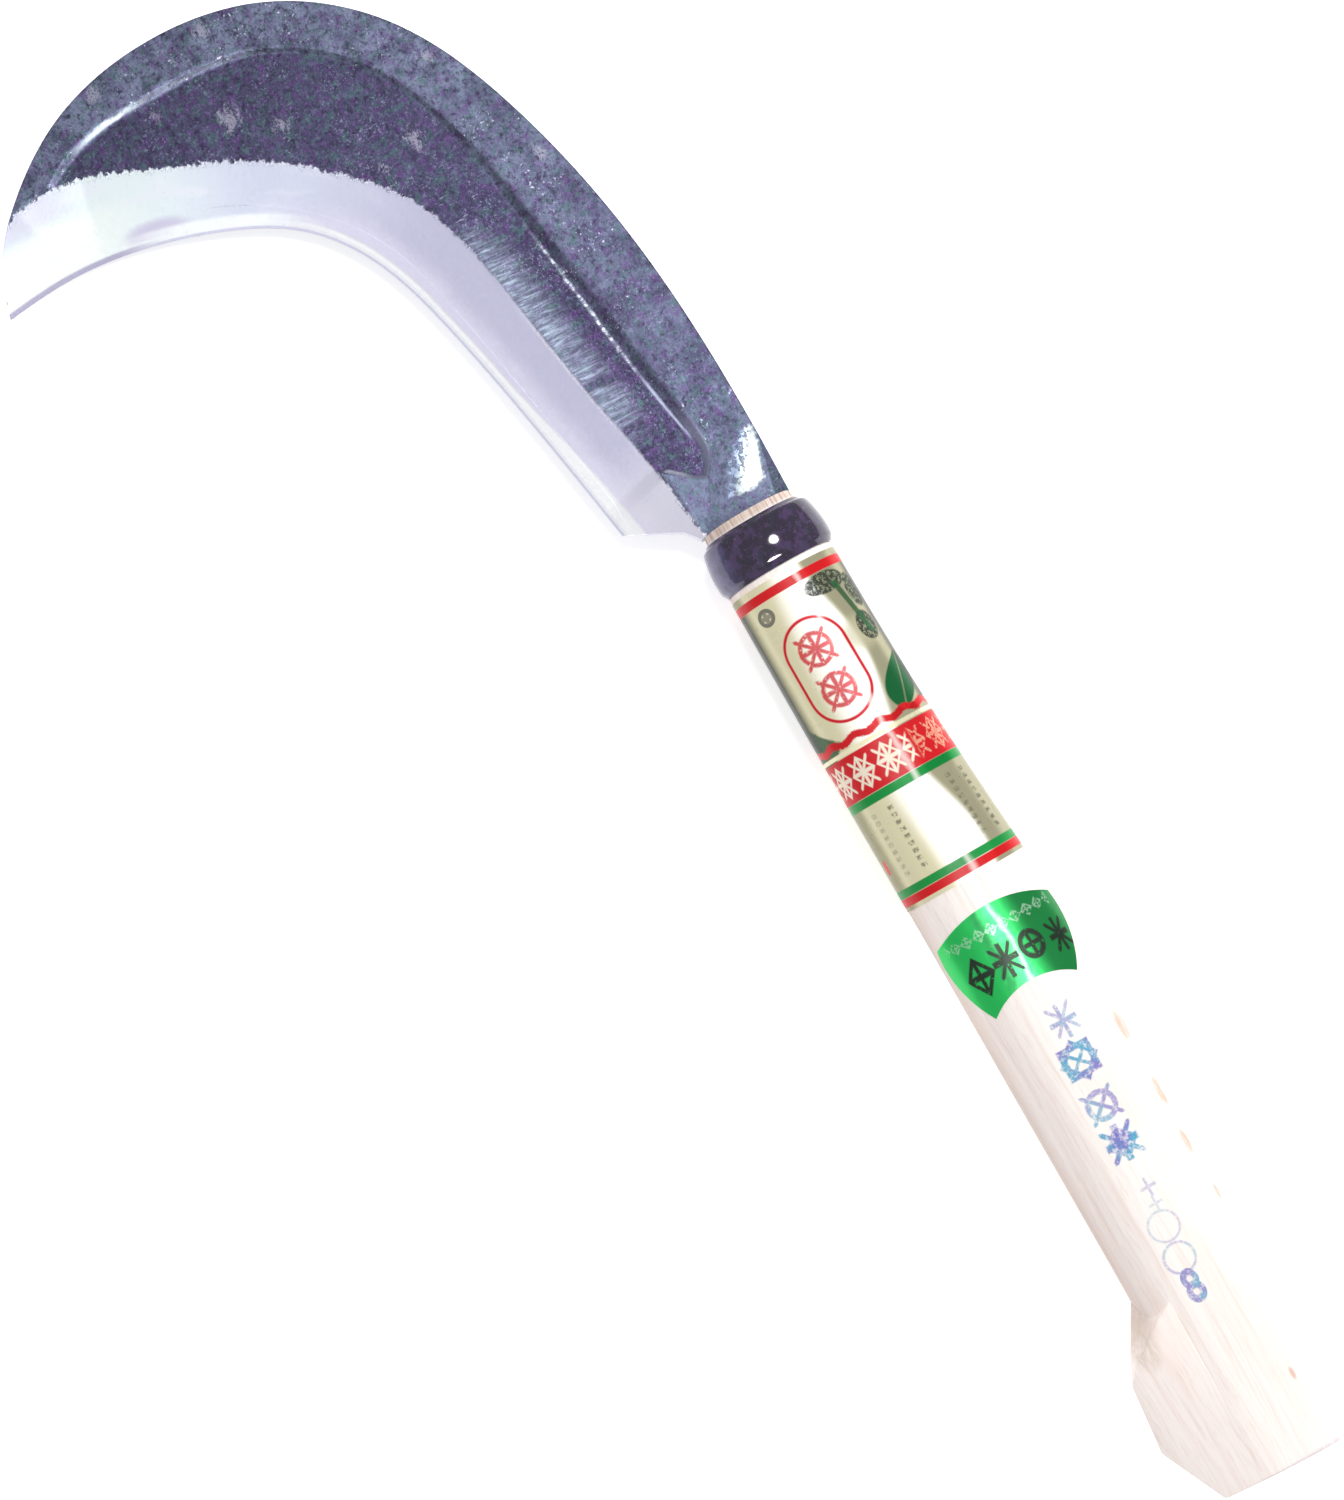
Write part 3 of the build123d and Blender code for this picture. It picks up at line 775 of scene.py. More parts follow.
class Value:
    """A number that a material works out at each point, written as ordinary arithmetic."""

    def __init__(self, look, socket):
        self.look = look
        self.socket = socket

    def __add__(self, other):
        return self.look.math("ADD", self, other)

    def __sub__(self, other):
        return self.look.math("SUBTRACT", self, other)

    def __rsub__(self, other):
        return self.look.math("SUBTRACT", other, self)

    def __mul__(self, other):
        return self.look.math("MULTIPLY", self, other)

    def __truediv__(self, other):
        return self.look.math("DIVIDE", self, other)

    def __abs__(self):
        return self.look.math("ABSOLUTE", self)

    __radd__ = __add__
    __rmul__ = __mul__

    def least(self, other):
        return self.look.math("MINIMUM", self, other)

    def most(self, other):
        return self.look.math("MAXIMUM", self, other)

    def over(self, low, high):
        """0 below low, 1 above high, and smooth between; high below low turns it round."""
        node = self.look.node("ShaderNodeMapRange", interpolation_type="SMOOTHSTEP")
        self.look.feed(node.inputs["Value"], self)
        node.inputs["From Min"].default_value = min(low, high)
        node.inputs["From Max"].default_value = max(low, high)
        node.inputs["To Min"].default_value = 0 if low < high else 1
        node.inputs["To Max"].default_value = 1 if low < high else 0
        return Value(self.look, node.outputs["Result"])

    def within(self, low, high, soft=0.15):
        """1 between low and high, with edges this soft."""
        return self.over(low - soft, low + soft) * self.over(high + soft, high - soft)

    def near(self, centre, reach, soft=0.15):
        return self.within(centre - reach, centre + reach, soft)

    def past(self, first, last):
        """Like over, for a length round the grip, between two places given by where they show."""
        return self.over(front_arc(first), front_arc(last))


def any_of(amounts):
    """The greatest of several values."""
    return functools.reduce(Value.most, amounts)


class Look:
    """A procedural material under construction, over a vector that gives the place on the surface."""

    def __init__(self, name, own_coordinates=False):
        self.material = bpy.data.materials.new(name)
        self.material.use_nodes = True
        self.tree = self.material.node_tree
        self.tree.nodes.clear()
        if own_coordinates:
            output = self.node("ShaderNodeTexCoord").outputs["Object"]
        else:
            output = self.node("ShaderNodeAttribute", attribute_name="tool").outputs["Vector"]
        self.place = Value(self, output)

    def node(self, kind, **settings):
        node = self.tree.nodes.new(kind)
        for key, value in settings.items():
            setattr(node, key, value)
        return node

    def feed(self, socket, value):
        if isinstance(value, Value):
            self.tree.links.new(value.socket, socket)
        elif isinstance(value, tuple):
            socket.default_value = (*srgb(*value), 1)
        else:
            socket.default_value = value

    def math(self, operation, *values):
        node = self.node("ShaderNodeMath", operation=operation)
        for socket, value in zip(node.inputs, values):
            self.feed(socket, value)
        return Value(self, node.outputs["Value"])

    def field(self, name):
        """A number stored on the mesh."""
        return Value(self, self.node("ShaderNodeAttribute", attribute_name=name).outputs["Fac"])

    def axes(self):
        """The three numbers of the place."""
        node = self.node("ShaderNodeSeparateXYZ")
        self.feed(node.inputs[0], self.place)
        return [Value(self, output) for output in node.outputs]

    def repeat(self, value, pitch):
        """A length cut into cells of this pitch, each of which runs from -1 to 1."""
        return self.math("FLOORED_MODULO", value + 40.0, pitch) / (pitch / 2) - 1.0

    def join(self, x, y, z):
        node = self.node("ShaderNodeCombineXYZ")
        for socket, value in zip(node.inputs, (x, y, z)):
            self.feed(socket, value)
        return Value(self, node.outputs[0])

    def noise(self, where, size, detail=2.0, roughness=0.5, warp=0.0):
        """Soft noise about 0.5 over a vector or three numbers, with features of about this size."""
        node = self.node("ShaderNodeTexNoise")
        self.feed(node.inputs["Vector"], self.join(*where) if isinstance(where, tuple) else where)
        settings = {"Scale": 1 / size, "Detail": detail, "Roughness": roughness, "Distortion": warp}
        for key, value in settings.items():
            node.inputs[key].default_value = value
        return Value(self, node.outputs["Fac"])

    def mix(self, below, above, amount):
        """One colour laid over another where the amount is 1."""
        node = self.node("ShaderNodeMix", data_type="RGBA")
        self.feed(node.inputs[0], amount)
        self.feed(node.inputs[6], below)
        self.feed(node.inputs[7], above)
        return Value(self, node.outputs[2])

    def paint(self, base, *layers):
        """Colours laid one over another: each layer is a colour and where it shows."""
        colour = base
        for above, amount in layers:
            colour = self.mix(colour, above, amount)
        return colour

    def done(self, colour, roughness, height, metallic=0.0, coat=0.0, specular=0.5, glow=0.0):
        """Closes the material; the height, in millimetres, is worked into the normals."""
        shader = self.node("ShaderNodeBsdfPrincipled")
        self.feed(shader.inputs["Base Color"], colour)
        self.feed(shader.inputs["Roughness"], roughness)
        self.feed(shader.inputs["Metallic"], metallic)
        shader.inputs["Coat Weight"].default_value = coat
        shader.inputs["Coat Roughness"].default_value = 0.06
        shader.inputs["Specular IOR Level"].default_value = specular
        bump = self.node("ShaderNodeBump")
        bump.inputs["Distance"].default_value = MM
        self.feed(bump.inputs["Height"], height)
        self.tree.links.new(bump.outputs["Normal"], shader.inputs["Normal"])
        shader.inputs["Emission Color"].default_value = (1, 1, 1, 1)
        shader.inputs["Emission Strength"].default_value = glow
        output = self.node("ShaderNodeOutputMaterial")
        self.tree.links.new(shader.outputs[0], output.inputs[0])
        return self.material


def blot(x, across, middle, half, soft=0.15):
    """Oval spot, with an edge this soft."""
    a = (x - middle[0]) / half[0]
    b = (across - middle[1]) / half[1]
    return (a * a + b * b).over(1.0 + soft, 1.0 - soft)


def half_plane(x, y, start, end):
    """Distance of a place to the left of the line from start to end."""
    dx, dy = end[0] - start[0], end[1] - start[1]
    length = math.hypot(dx, dy)
    return (y - start[1]) * (dx / length) - (x - start[0]) * (dy / length)


def within_outline(x, y, outline):
    """Distance inside a convex outline that runs anticlockwise."""
    sides = zip([outline[-1], *outline], outline)
    return functools.reduce(Value.least, [half_plane(x, y, start, end) for start, end in sides])


def scale_colour(look, fine, bevel, rim_share):
    """Forge scale: purple and green over grey, mottled and specked, worn bright in a few places, with
    painted light and shade on the hollow's wall.
    """
    x, y, z = look.axes()
    tone = look.noise(look.place, 8.0, 3, 0.6)
    mottle = look.noise(look.place, 3.8, 4, 0.65)
    violet = look.noise(look.place, 2.6, 4, 0.72)
    green = look.noise((y, x, z + 30.0), 2.4, 4, 0.72)
    pits = look.noise((x, y, z + 60.0), 1.8, 4, 0.75)
    dots = look.noise((y, x, z + 120.0), 1.1, 2, 0.6)
    neck = x.over(-28, -14)
    specks = look.noise((y, z + 90.0, x), 0.8, 1, 0.5)
    sparkle = look.noise(look.place, 9.0, 2).over(0.48, 0.62)
    in_hollow = rim_share.over(0.6, 1.4)
    toward_heel = x.over(-130, -70)
    base = look.paint(
        (84, 88, 114),
        ((108, 115, 142), mottle.over(0.46, 0.62) * 0.6),
        ((63, 55, 90), in_hollow * (0.64 + toward_heel * 0.34)),
        ((126, 136, 162), (1.0 - toward_heel) * mottle.over(0.32, 0.54) * 0.72 * (1.0 - in_hollow)),
        ((112, 123, 146), neck * (1.0 - in_hollow) * 0.55),
        ((60, 58, 84), tone.over(0.54, 0.38) * 0.5 * (1.0 - neck)),
        ((138, 146, 170), tone.over(0.50, 0.64) * 0.16 * (1.0 - in_hollow)),
        ((100, 60, 128), violet.over(0.50, 0.60) * 0.48),
        ((66, 110, 102), green.over(0.51, 0.62) * 0.5),
        ((32, 26, 50), dots.over(0.50, 0.40) * in_hollow * (toward_heel * 0.55 + 0.05)),
        ((42, 33, 62), pits.over(0.48, 0.36) * (0.7 - neck * 0.35)),
        ((46, 36, 66), fine.over(0.47, 0.36) * 0.6),
        ((124, 134, 164), pits.over(0.55, 0.66) * (0.45 - in_hollow * 0.2)),
        ((150, 154, 186), fine.over(0.56, 0.67) * (sparkle * 0.4 + 0.32)),
        ((214, 218, 236), specks.over(0.67, 0.74) * sparkle * (1.0 - in_hollow * 0.7) * 0.85),
    )

    # Ragged spots where the scale has flaked.
    ragged = (look.noise((x * 0.6 + y * 0.35, y, 0.0), 2.4, 5, 0.85) - 0.5) * 13.0
    flakes = []
    for flake_x, flake_y, size in FLAKED_SPOTS:
        away_x = (x - flake_x) * 0.8
        away_y = y - flake_y
        away = look.math("SQRT", away_x * away_x + away_y * away_y)
        flakes.append((away + ragged).over(size, size - 1.6))
    flaked = any_of(flakes)

    # Strokes of a coarse stone that slipped over the body, above the bevel.
    across_strokes = x - y * 0.085
    strokes = look.noise((across_strokes * 1.15, y * 0.13, 0.0), 1.0, 4, 0.7, 0.3)
    swath = look.noise((across_strokes * 0.16, 5.0, 0.0), 1.0, 2, 0.5)
    near_bevel = bevel.over(-11, -1) * x.within(-98, -36, 9) * swath.over(0.28, 0.50)
    brushed = near_bevel * (strokes.over(0.42, 0.66) * 0.6 + 0.2)
    nicks = strokes.over(0.60, 0.70) * bevel.over(-26, -6) * x.within(-116, -92, 6) * fine.over(0.42, 0.55)
    brushed = in_hollow * (brushed + nicks)

    # The hollow's wall: painted shade where it faces away from the spine, painted highlights along its foot,
    # at the hook and along its end by the heel, and painted lightening on its end wall by the heel, which
    # lies in shade.
    wander = (mottle - 0.5) * 0.9
    dashes = look.noise((x * 0.7, y * 0.2, 0.0), 1.0, 4, 0.8).over(0.46, 0.58) * 0.8 + 0.15
    wall_foot_highlight = (rim_share + wander * 0.35).near(1.03, 0.10, 0.10) * dashes
    wall_foot_highlight = wall_foot_highlight * x.within(-92, -46, 7) * fine.over(0.34, 0.48)
    wall_shade = (rim_share + wander).within(0.0, 0.55, 0.42) * x.over(-164, -128) * x.over(-22, -34)
    hook_wall_highlight = (rim_share + wander * 0.6).within(0.36, 0.72, 0.18) * x.over(-150, -164)
    hook_wall_highlight = hook_wall_highlight * (y.within(-104, -88, 7) * 0.9 + y.within(-86, -56, 10) * 0.14)
    end_wall_lightening = rim_share.within(0.0, 0.8, 0.2) * x.over(-36, -26)
    foot_highlight_line = rim_share.near(1.0, 0.10, 0.08) * x.within(-44, -26, 4)
    end_highlight_line = (rim_share + wander * 0.3).near(0.5, 0.3, 0.3) * y.within(-15, -9.5, 2) * x.over(-30, -24)
    return look.paint(
        base,
        ((172, 170, 190), flaked * fine.over(0.36, 0.52) * 0.6),
        ((186, 202, 224), brushed.least(1.0) * 0.9),
        # Painted light on the hollow's wall: lightening on the end wall, shade on the far wall, highlights
        # at its foot, hook and end.
        ((146, 148, 176), end_wall_lightening * 0.75),
        ((66, 50, 82), wall_shade * (violet.over(0.42, 0.58) * 0.35 + 0.15)),
        ((228, 234, 250), wall_foot_highlight),
        ((186, 190, 218), foot_highlight_line * 0.6),
        ((236, 250, 252), hook_wall_highlight.least(1.0) * fine.over(0.30, 0.46)),
        ((214, 214, 236), end_highlight_line * (fine.over(0.36, 0.56) * 0.5 + 0.5)),
    )


def silver_with_painted_reflections(look, along, edge):
    """Ground metal: lavender silver with painted reflections, whitest at the hook and the tip, with white
    bands along the edge and lighter by the heel, and fine lines that follow the edge.
    """
    wander = (look.noise((along * 9.0, 0.0, 0.0), 1.0, 3, 0.6) - 0.5) * 1.6
    streaks = look.noise((along * 240.0, edge * 0.22, 0.0), 1.0, 2, 0.6)
    cloud = look.noise((along * 9.0, edge * 0.12, 0.0), 1.0, 2, 0.5, 0.4)
    mist = (look.noise((along * 26.0, edge * 0.3, 4.0), 1.0, 3, 0.6) - 0.5) * 3.0
    heel = along.over(0.72, 1.0)
    straight = along.over(0.34, 0.48)
    hook = along.within(0.20, 0.40, 0.06)
    tip = along.over(0.24, 0.16)
    first = edge + wander * 0.25 - 1.1
    second = edge + wander * 0.6 - 2.5 - heel * 2.6
    broad = edge + wander * 1.4 + mist - 7.2 - heel * 1.5
    patch = blot(along + wander * 0.006, edge + mist * 0.3, (0.222, 3.4), (0.040, 3.2), 0.75)
    # Painted reflections: the silver whitens towards the hook and the tip, lightens in clouds there, carries
    # white bands along the edge on the straight and at the hook, and lightens by the heel.
    return look.paint(
        (200, 199, 225),
        ((214, 218, 238), along.over(0.55, 0.38)),
        ((234, 246, 250), along.over(0.36, 0.20)),
        ((250, 255, 251), along.over(0.24, 0.10) * edge.over(17.0, 11.0)),
        ((212, 206, 232), along.over(0.16, 0.10) * edge.over(13.0, 18.0) * 0.6),
        ((240, 242, 252), cloud.over(0.52, 0.66) * along.over(0.55, 0.30) * 0.5),
        ((226, 223, 244), broad.over(3.2, -3.2) * straight * 0.9),
        ((204, 198, 226), patch * edge.over(1.2, 2.4) * 0.85),
        ((246, 250, 254), edge.over(4.6, 3.2) * hook),
        ((250, 252, 255), second.over(0.5, -0.2) * straight),
        ((200, 188, 212), second.near(0.0, 0.1, 0.45) * straight * (0.8 - heel * 0.4)),
        ((202, 198, 220), first.near(0.0, 0.06, 0.35) * straight * 0.7),
        ((206, 206, 230), edge.over(0.9, 0.5) * (1.0 - tip) * 0.9),
        ((232, 230, 242), along.over(0.90, 1.0) * edge.over(2.0, 9.0) * 0.7),
        ((184, 180, 206), edge.over(1.7, 1.0) * tip),
        ((176, 178, 206), streaks.over(0.60, 0.78) * 0.16),
    )


def steel_surface(name):
    """Forge scale on the body and brushed bright metal with painted reflections on the bevel, parted by a
    ragged line.
    """
    look = Look(name)
    place = look.place
    x, y, z = look.axes()
    bevel = look.field("bevel")
    edge = look.field("edge")
    along = look.field("along")
    rim_share = look.field("rim") / look.field("wall")
    fine = look.noise(place, 0.75, 3, 0.8)

    # Where the stone has cut: up to the bevel's top line, but raggedly, with teeth across it.
    teeth = look.noise((along * 150.0, bevel * 0.25, 0.0), 1.0, 3, 0.7)
    ragged = (look.noise(place, 1.9, 4, 0.75) - 0.5) * 4.0 + (teeth - 0.5) * 3.2
    hook = x.over(-82, -118)
    ragged = ragged * (hook * 0.8 + x.over(-26, -14) * 0.8 + 0.2)
    front = z.over(BACK_Z + 0.10, BACK_Z + 0.20)
    parting = bevel + ragged - 0.5 + x.within(-98, -20, 14) * 0.5 - x.over(-16, -9) * 1.1
    ground = parting.over(-0.35, 0.55) * front

    # The neck's flat is filed to bare metal and whitened by a painted highlight away from its low side; its
    # chamfer kept the scale.
    filed_edge = (look.noise(place, 1.4, 3, 0.75) - 0.5) * 3.0
    filed = (within_outline(x, y, FILED_FACET) + filed_edge).over(-0.4, 1.0) * front
    from_low_side = half_plane(x, y, FILED_FACET[-1], FILED_FACET[1])
    left_scale = look.noise(place, 1.7, 4, 0.75).over(0.50, 0.56) * from_low_side.over(5.0, 2.0)
    filed = filed * (1.0 - left_scale * 0.85)
    filed_highlight = (from_low_side + filed_edge).over(0.2, 3.2)

    # Along the parting line the silver is specked on the hook and burred near the heel.
    stubble = parting.within(0.0, 1.3, 0.5) * fine.over(0.5, 0.6) * hook
    burr = parting.near(0.5, 0.3, 0.4) * x.within(-72, -38, 10) * fine.over(0.36, 0.56)
    silver = look.paint(
        silver_with_painted_reflections(look, along, edge),
        ((150, 146, 176), stubble * 0.4),
        ((236, 240, 252), burr * 0.7),
    )
    colour = look.paint(
        scale_colour(look, fine, bevel, rim_share),
        (silver, ground),
        (look.mix((150, 166, 198), (232, 248, 248), filed_highlight), filed),
    )
    bright = ground.most(filed)
    return look.done(
        colour,
        roughness=0.46 + (fine - 0.5) * 0.3 - bright * 0.12,
        height=(fine * 0.10 + look.noise(place, 3.2, 3) * 0.10) * (1.0 - bright),
        metallic=0.7 - bright * 0.2,
    )


def lozenge(a, b, line):
    """Outline of a lozenge in a square cell that runs from -1 to 1 both ways."""
    return (abs(a) + abs(b)).near(0.85, line, 0.06)


def hoop(a, b, line):
    return (a * a + b * b).near(0.55, line * 1.3, 0.08)


def cross(a, b, line):
    arms = abs(a).over(line + 0.05, line - 0.05).most(abs(b).over(line + 0.05, line - 0.05))
    return arms * abs(a).most(abs(b)).over(0.9, 0.8)


def saltire(a, b, line):
    return (abs(a) - abs(b)).near(0, line, 0.06) * abs(a).most(abs(b)).over(0.85, 0.75)


def lattice(a, b, line):
    """A square frame with a saltire in it."""
    reach = abs(a).most(abs(b))
    return reach.near(0.8, line, 0.06).most(saltire(a, b, line * 0.8))


def stamped(x, across, marks):
    """All of these marks together: a drawing, its middle, its half sizes, its line and its strength."""
    return any_of([
        drawing((x - cx) / half_x, (across - cy) / half_y, line) * strength
        for drawing, (cx, cy), (half_x, half_y), line, strength in marks
    ])


# Each mark: drawing, middle, half sizes, line and strength.
STAMPS = [
    (saltire, (153.0, 3.6), (5.0, 4.2), 0.14, 0.62),
    (cross, (153.5, 3.4), (5.4, 4.4), 0.12, 0.74),
    (lozenge, (164.0, 2.0), (5.8, 5.4), 0.16, 0.95),
    (lattice, (164.0, 2.0), (4.4, 4.6), 0.18, 0.95),
    (saltire, (176.6, 1.2), (5.2, 5.4), 0.14, 0.80),
    (hoop, (176.6, 1.2), (4.8, 4.8), 0.17, 0.75),
    (saltire, (187.2, 1.0), (5.6, 5.4), 0.17, 0.95),
    (cross, (187.2, 1.0), (5.8, 5.2), 0.17, 1.0),
    (lozenge, (187.2, 1.0), (4.6, 4.6), 0.14, 0.85),
    (cross, (200.0, 1.0), (3.0, 2.6), 0.14, 0.45),
    (cross, (204.5, 0.6), (2.6, 2.2), 0.14, 0.35),
    (hoop, (210.5, -0.5), (5.4, 5.4), 0.06, 0.45),
    (hoop, (219.2, -1.0), (5.4, 5.4), 0.07, 0.55),
    (hoop, (225.0, -1.5), (2.8, 2.3), 0.34, 0.85),
    (hoop, (228.6, -1.5), (2.9, 2.5), 0.34, 0.85),
]
SEAL_MARKS = [
    (saltire, (134.0, 11.4), (5.2, 3.5), 0.17, 1.0),
    (cross, (134.0, 11.4), (5.6, 3.6), 0.14, 1.0),
    (hoop, (132.6, 4.4), (4.6, 3.8), 0.19, 1.0),
    (cross, (132.6, 4.4), (3.4, 2.6), 0.19, 1.0),
    (cross, (133.0, -3.4), (5.8, 4.2), 0.155, 1.0),
    (saltire, (133.0, -3.4), (5.4, 4.0), 0.16, 1.0),
    (lozenge, (133.8, -10.6), (5.6, 4.2), 0.16, 1.0),
    (cross, (133.8, -10.6), (5.8, 4.0), 0.14, 1.0),
]


def wood_surface():
    """Pale planed hardwood: long straight grain with pores, darker flecks and faded blue stamping, with
    painted shade on the low side, along its low edge, in the flare's cove and between the neck and the
    ferrule.
    """
    look = Look("oak")
    x, y, z = look.axes()
    drift = (look.noise((x * 0.012, y * 0.1, z * 0.1), 1.0, 2) - 0.5) * 8.0
    grain = look.noise((x * 0.016, (y + drift) * 0.75, z * 0.75), 1.0, 3, 0.7)
    pores = look.noise((x * 0.12, (y + drift) * 2.6, z * 2.6), 1.0, 3, 0.65)
    cloud = look.noise((x * 0.02, y * 0.1, z * 0.1), 1.0, 2)
    painted_shade = y.over(3, -12)
    cove_ragged = look.noise((x * 0.25, y * 0.9, z * 0.3), 1.0, 3, 0.7)
    front = z.over(0, 3)
    cove_shade = blot(x, y, *SHADED_COVE, 0.9) * (cove_ragged.over(0.40, 0.62) * 0.6 + 0.4) * front
    end_grain_and_shade = x.over(3.0, 1.4)
    end_checks = look.noise((0.0, y, 0.0), 0.9, 2).over(0.46, 0.62)
    butt = x.over(HANDLE_LENGTH - 1.2, HANDLE_LENGTH - 0.4)
    rings = look.noise((x * 0.05, (y + drift * 0.3) * 1.6, z * 0.5), 1.0, 2, 0.6).over(0.35, 0.6)
    colour = look.paint(
        (252, 247, 242),
        # Painted shade: pinker towards the low side, and darker along the grip's low edge.
        ((252, 240, 235), painted_shade * 0.8),
        ((196, 178, 168), y.over(-13.2, -16.6) * x.over(236, 228) * 0.8),
        ((246, 226, 212), cloud.over(0.54, 0.66) * 0.30),
        ((241, 222, 215), grain.over(0.44, 0.62) * (painted_shade * 0.16 + 0.24)),
        ((234, 212, 202), grain.over(0.58, 0.70) * (painted_shade * 0.1 + 0.24)),
        ((228, 206, 196), pores.over(0.53, 0.66) * (painted_shade * 0.16 + 0.22)),
        # Painted shade in the flare's cove, ragged at its edge.
        ((208, 188, 170), cove_shade * 0.7),
        # End grain at the tenon's end, with painted shade on the strip between the neck and the ferrule.
        ((206, 184, 170), end_grain_and_shade * (rings * 0.4 + 0.55)),
        ((230, 218, 222), butt * (rings * 0.5 + 0.4)),
        ((186, 160, 150), end_grain_and_shade * end_checks),
    )

    # Darker flecks where the grain runs out on the spine side.
    flecks = any_of([blot(x, y, middle, half, 0.714) for middle, half in GRAIN_FLECKS])
    flecks = flecks * pores.over(0.30, 0.52) * front

    # Blue stamping along the front: plain ornaments, worn thin.
    ink = stamped(x, y, STAMPS) * z.over(6, 9)
    worn = look.noise(look.place, 1.1, 3, 0.75).over(0.34, 0.54) * 0.65 + 0.35
    hue = look.noise(look.place, 7.0, 2).over(0.42, 0.60)
    blue = look.mix((112, 110, 190), (70, 160, 196), hue)
    colour = look.paint(colour, ((222, 184, 164), flecks * 0.9), (blue, ink * worn))
    return look.done(colour, roughness=0.58 + grain * 0.2, height=pores * 0.04 + grain * 0.05)


def enamel_surface():
    """Thick black gloss over a hand-forged ring, with painted lavender and grey reflections on its two
    sides.
    """
    look = Look("black_enamel")
    _, y, _ = look.axes()
    ripple = look.noise(look.place, 7.0, 2)
    dust = look.noise(look.place, 0.8, 3, 0.7)
    haze = look.noise(look.place, 3.0, 3, 0.6)
    green = look.noise(look.place, 2.2, 3, 0.7)
    colour = look.paint(
        (42, 32, 53),
        ((84, 60, 108), haze.over(0.45, 0.62) * 0.5),
        ((36, 56, 62), green.over(0.52, 0.64) * 0.5),
        # Painted reflections: lavender on the low side and grey on the spine side.
        ((92, 86, 130), y.over(-10, -14.5) * (haze.over(0.35, 0.6) * 0.4 + 0.5)),
        ((64, 68, 80), y.over(11, 15) * 0.4),
        ((118, 108, 140), dust.over(0.60, 0.74) * 0.6),
    )
    return look.done(colour, roughness=0.05 + haze * 0.04, height=ripple * 0.04, coat=0.3)


def seen_from(x, v, middle, half):
    """A place on the wrap as it lies from a mark's middle, in the mark's half sizes."""
    return (x - middle[0]) / half[0], (v - front_arc(middle[1])) / half[1]


def spot(x, v, middle, half, soft=0.15):
    """Oval spot on the wrap, its middle given by where it shows."""
    return blot(x, v, (middle[0], front_arc(middle[1])), half, soft)


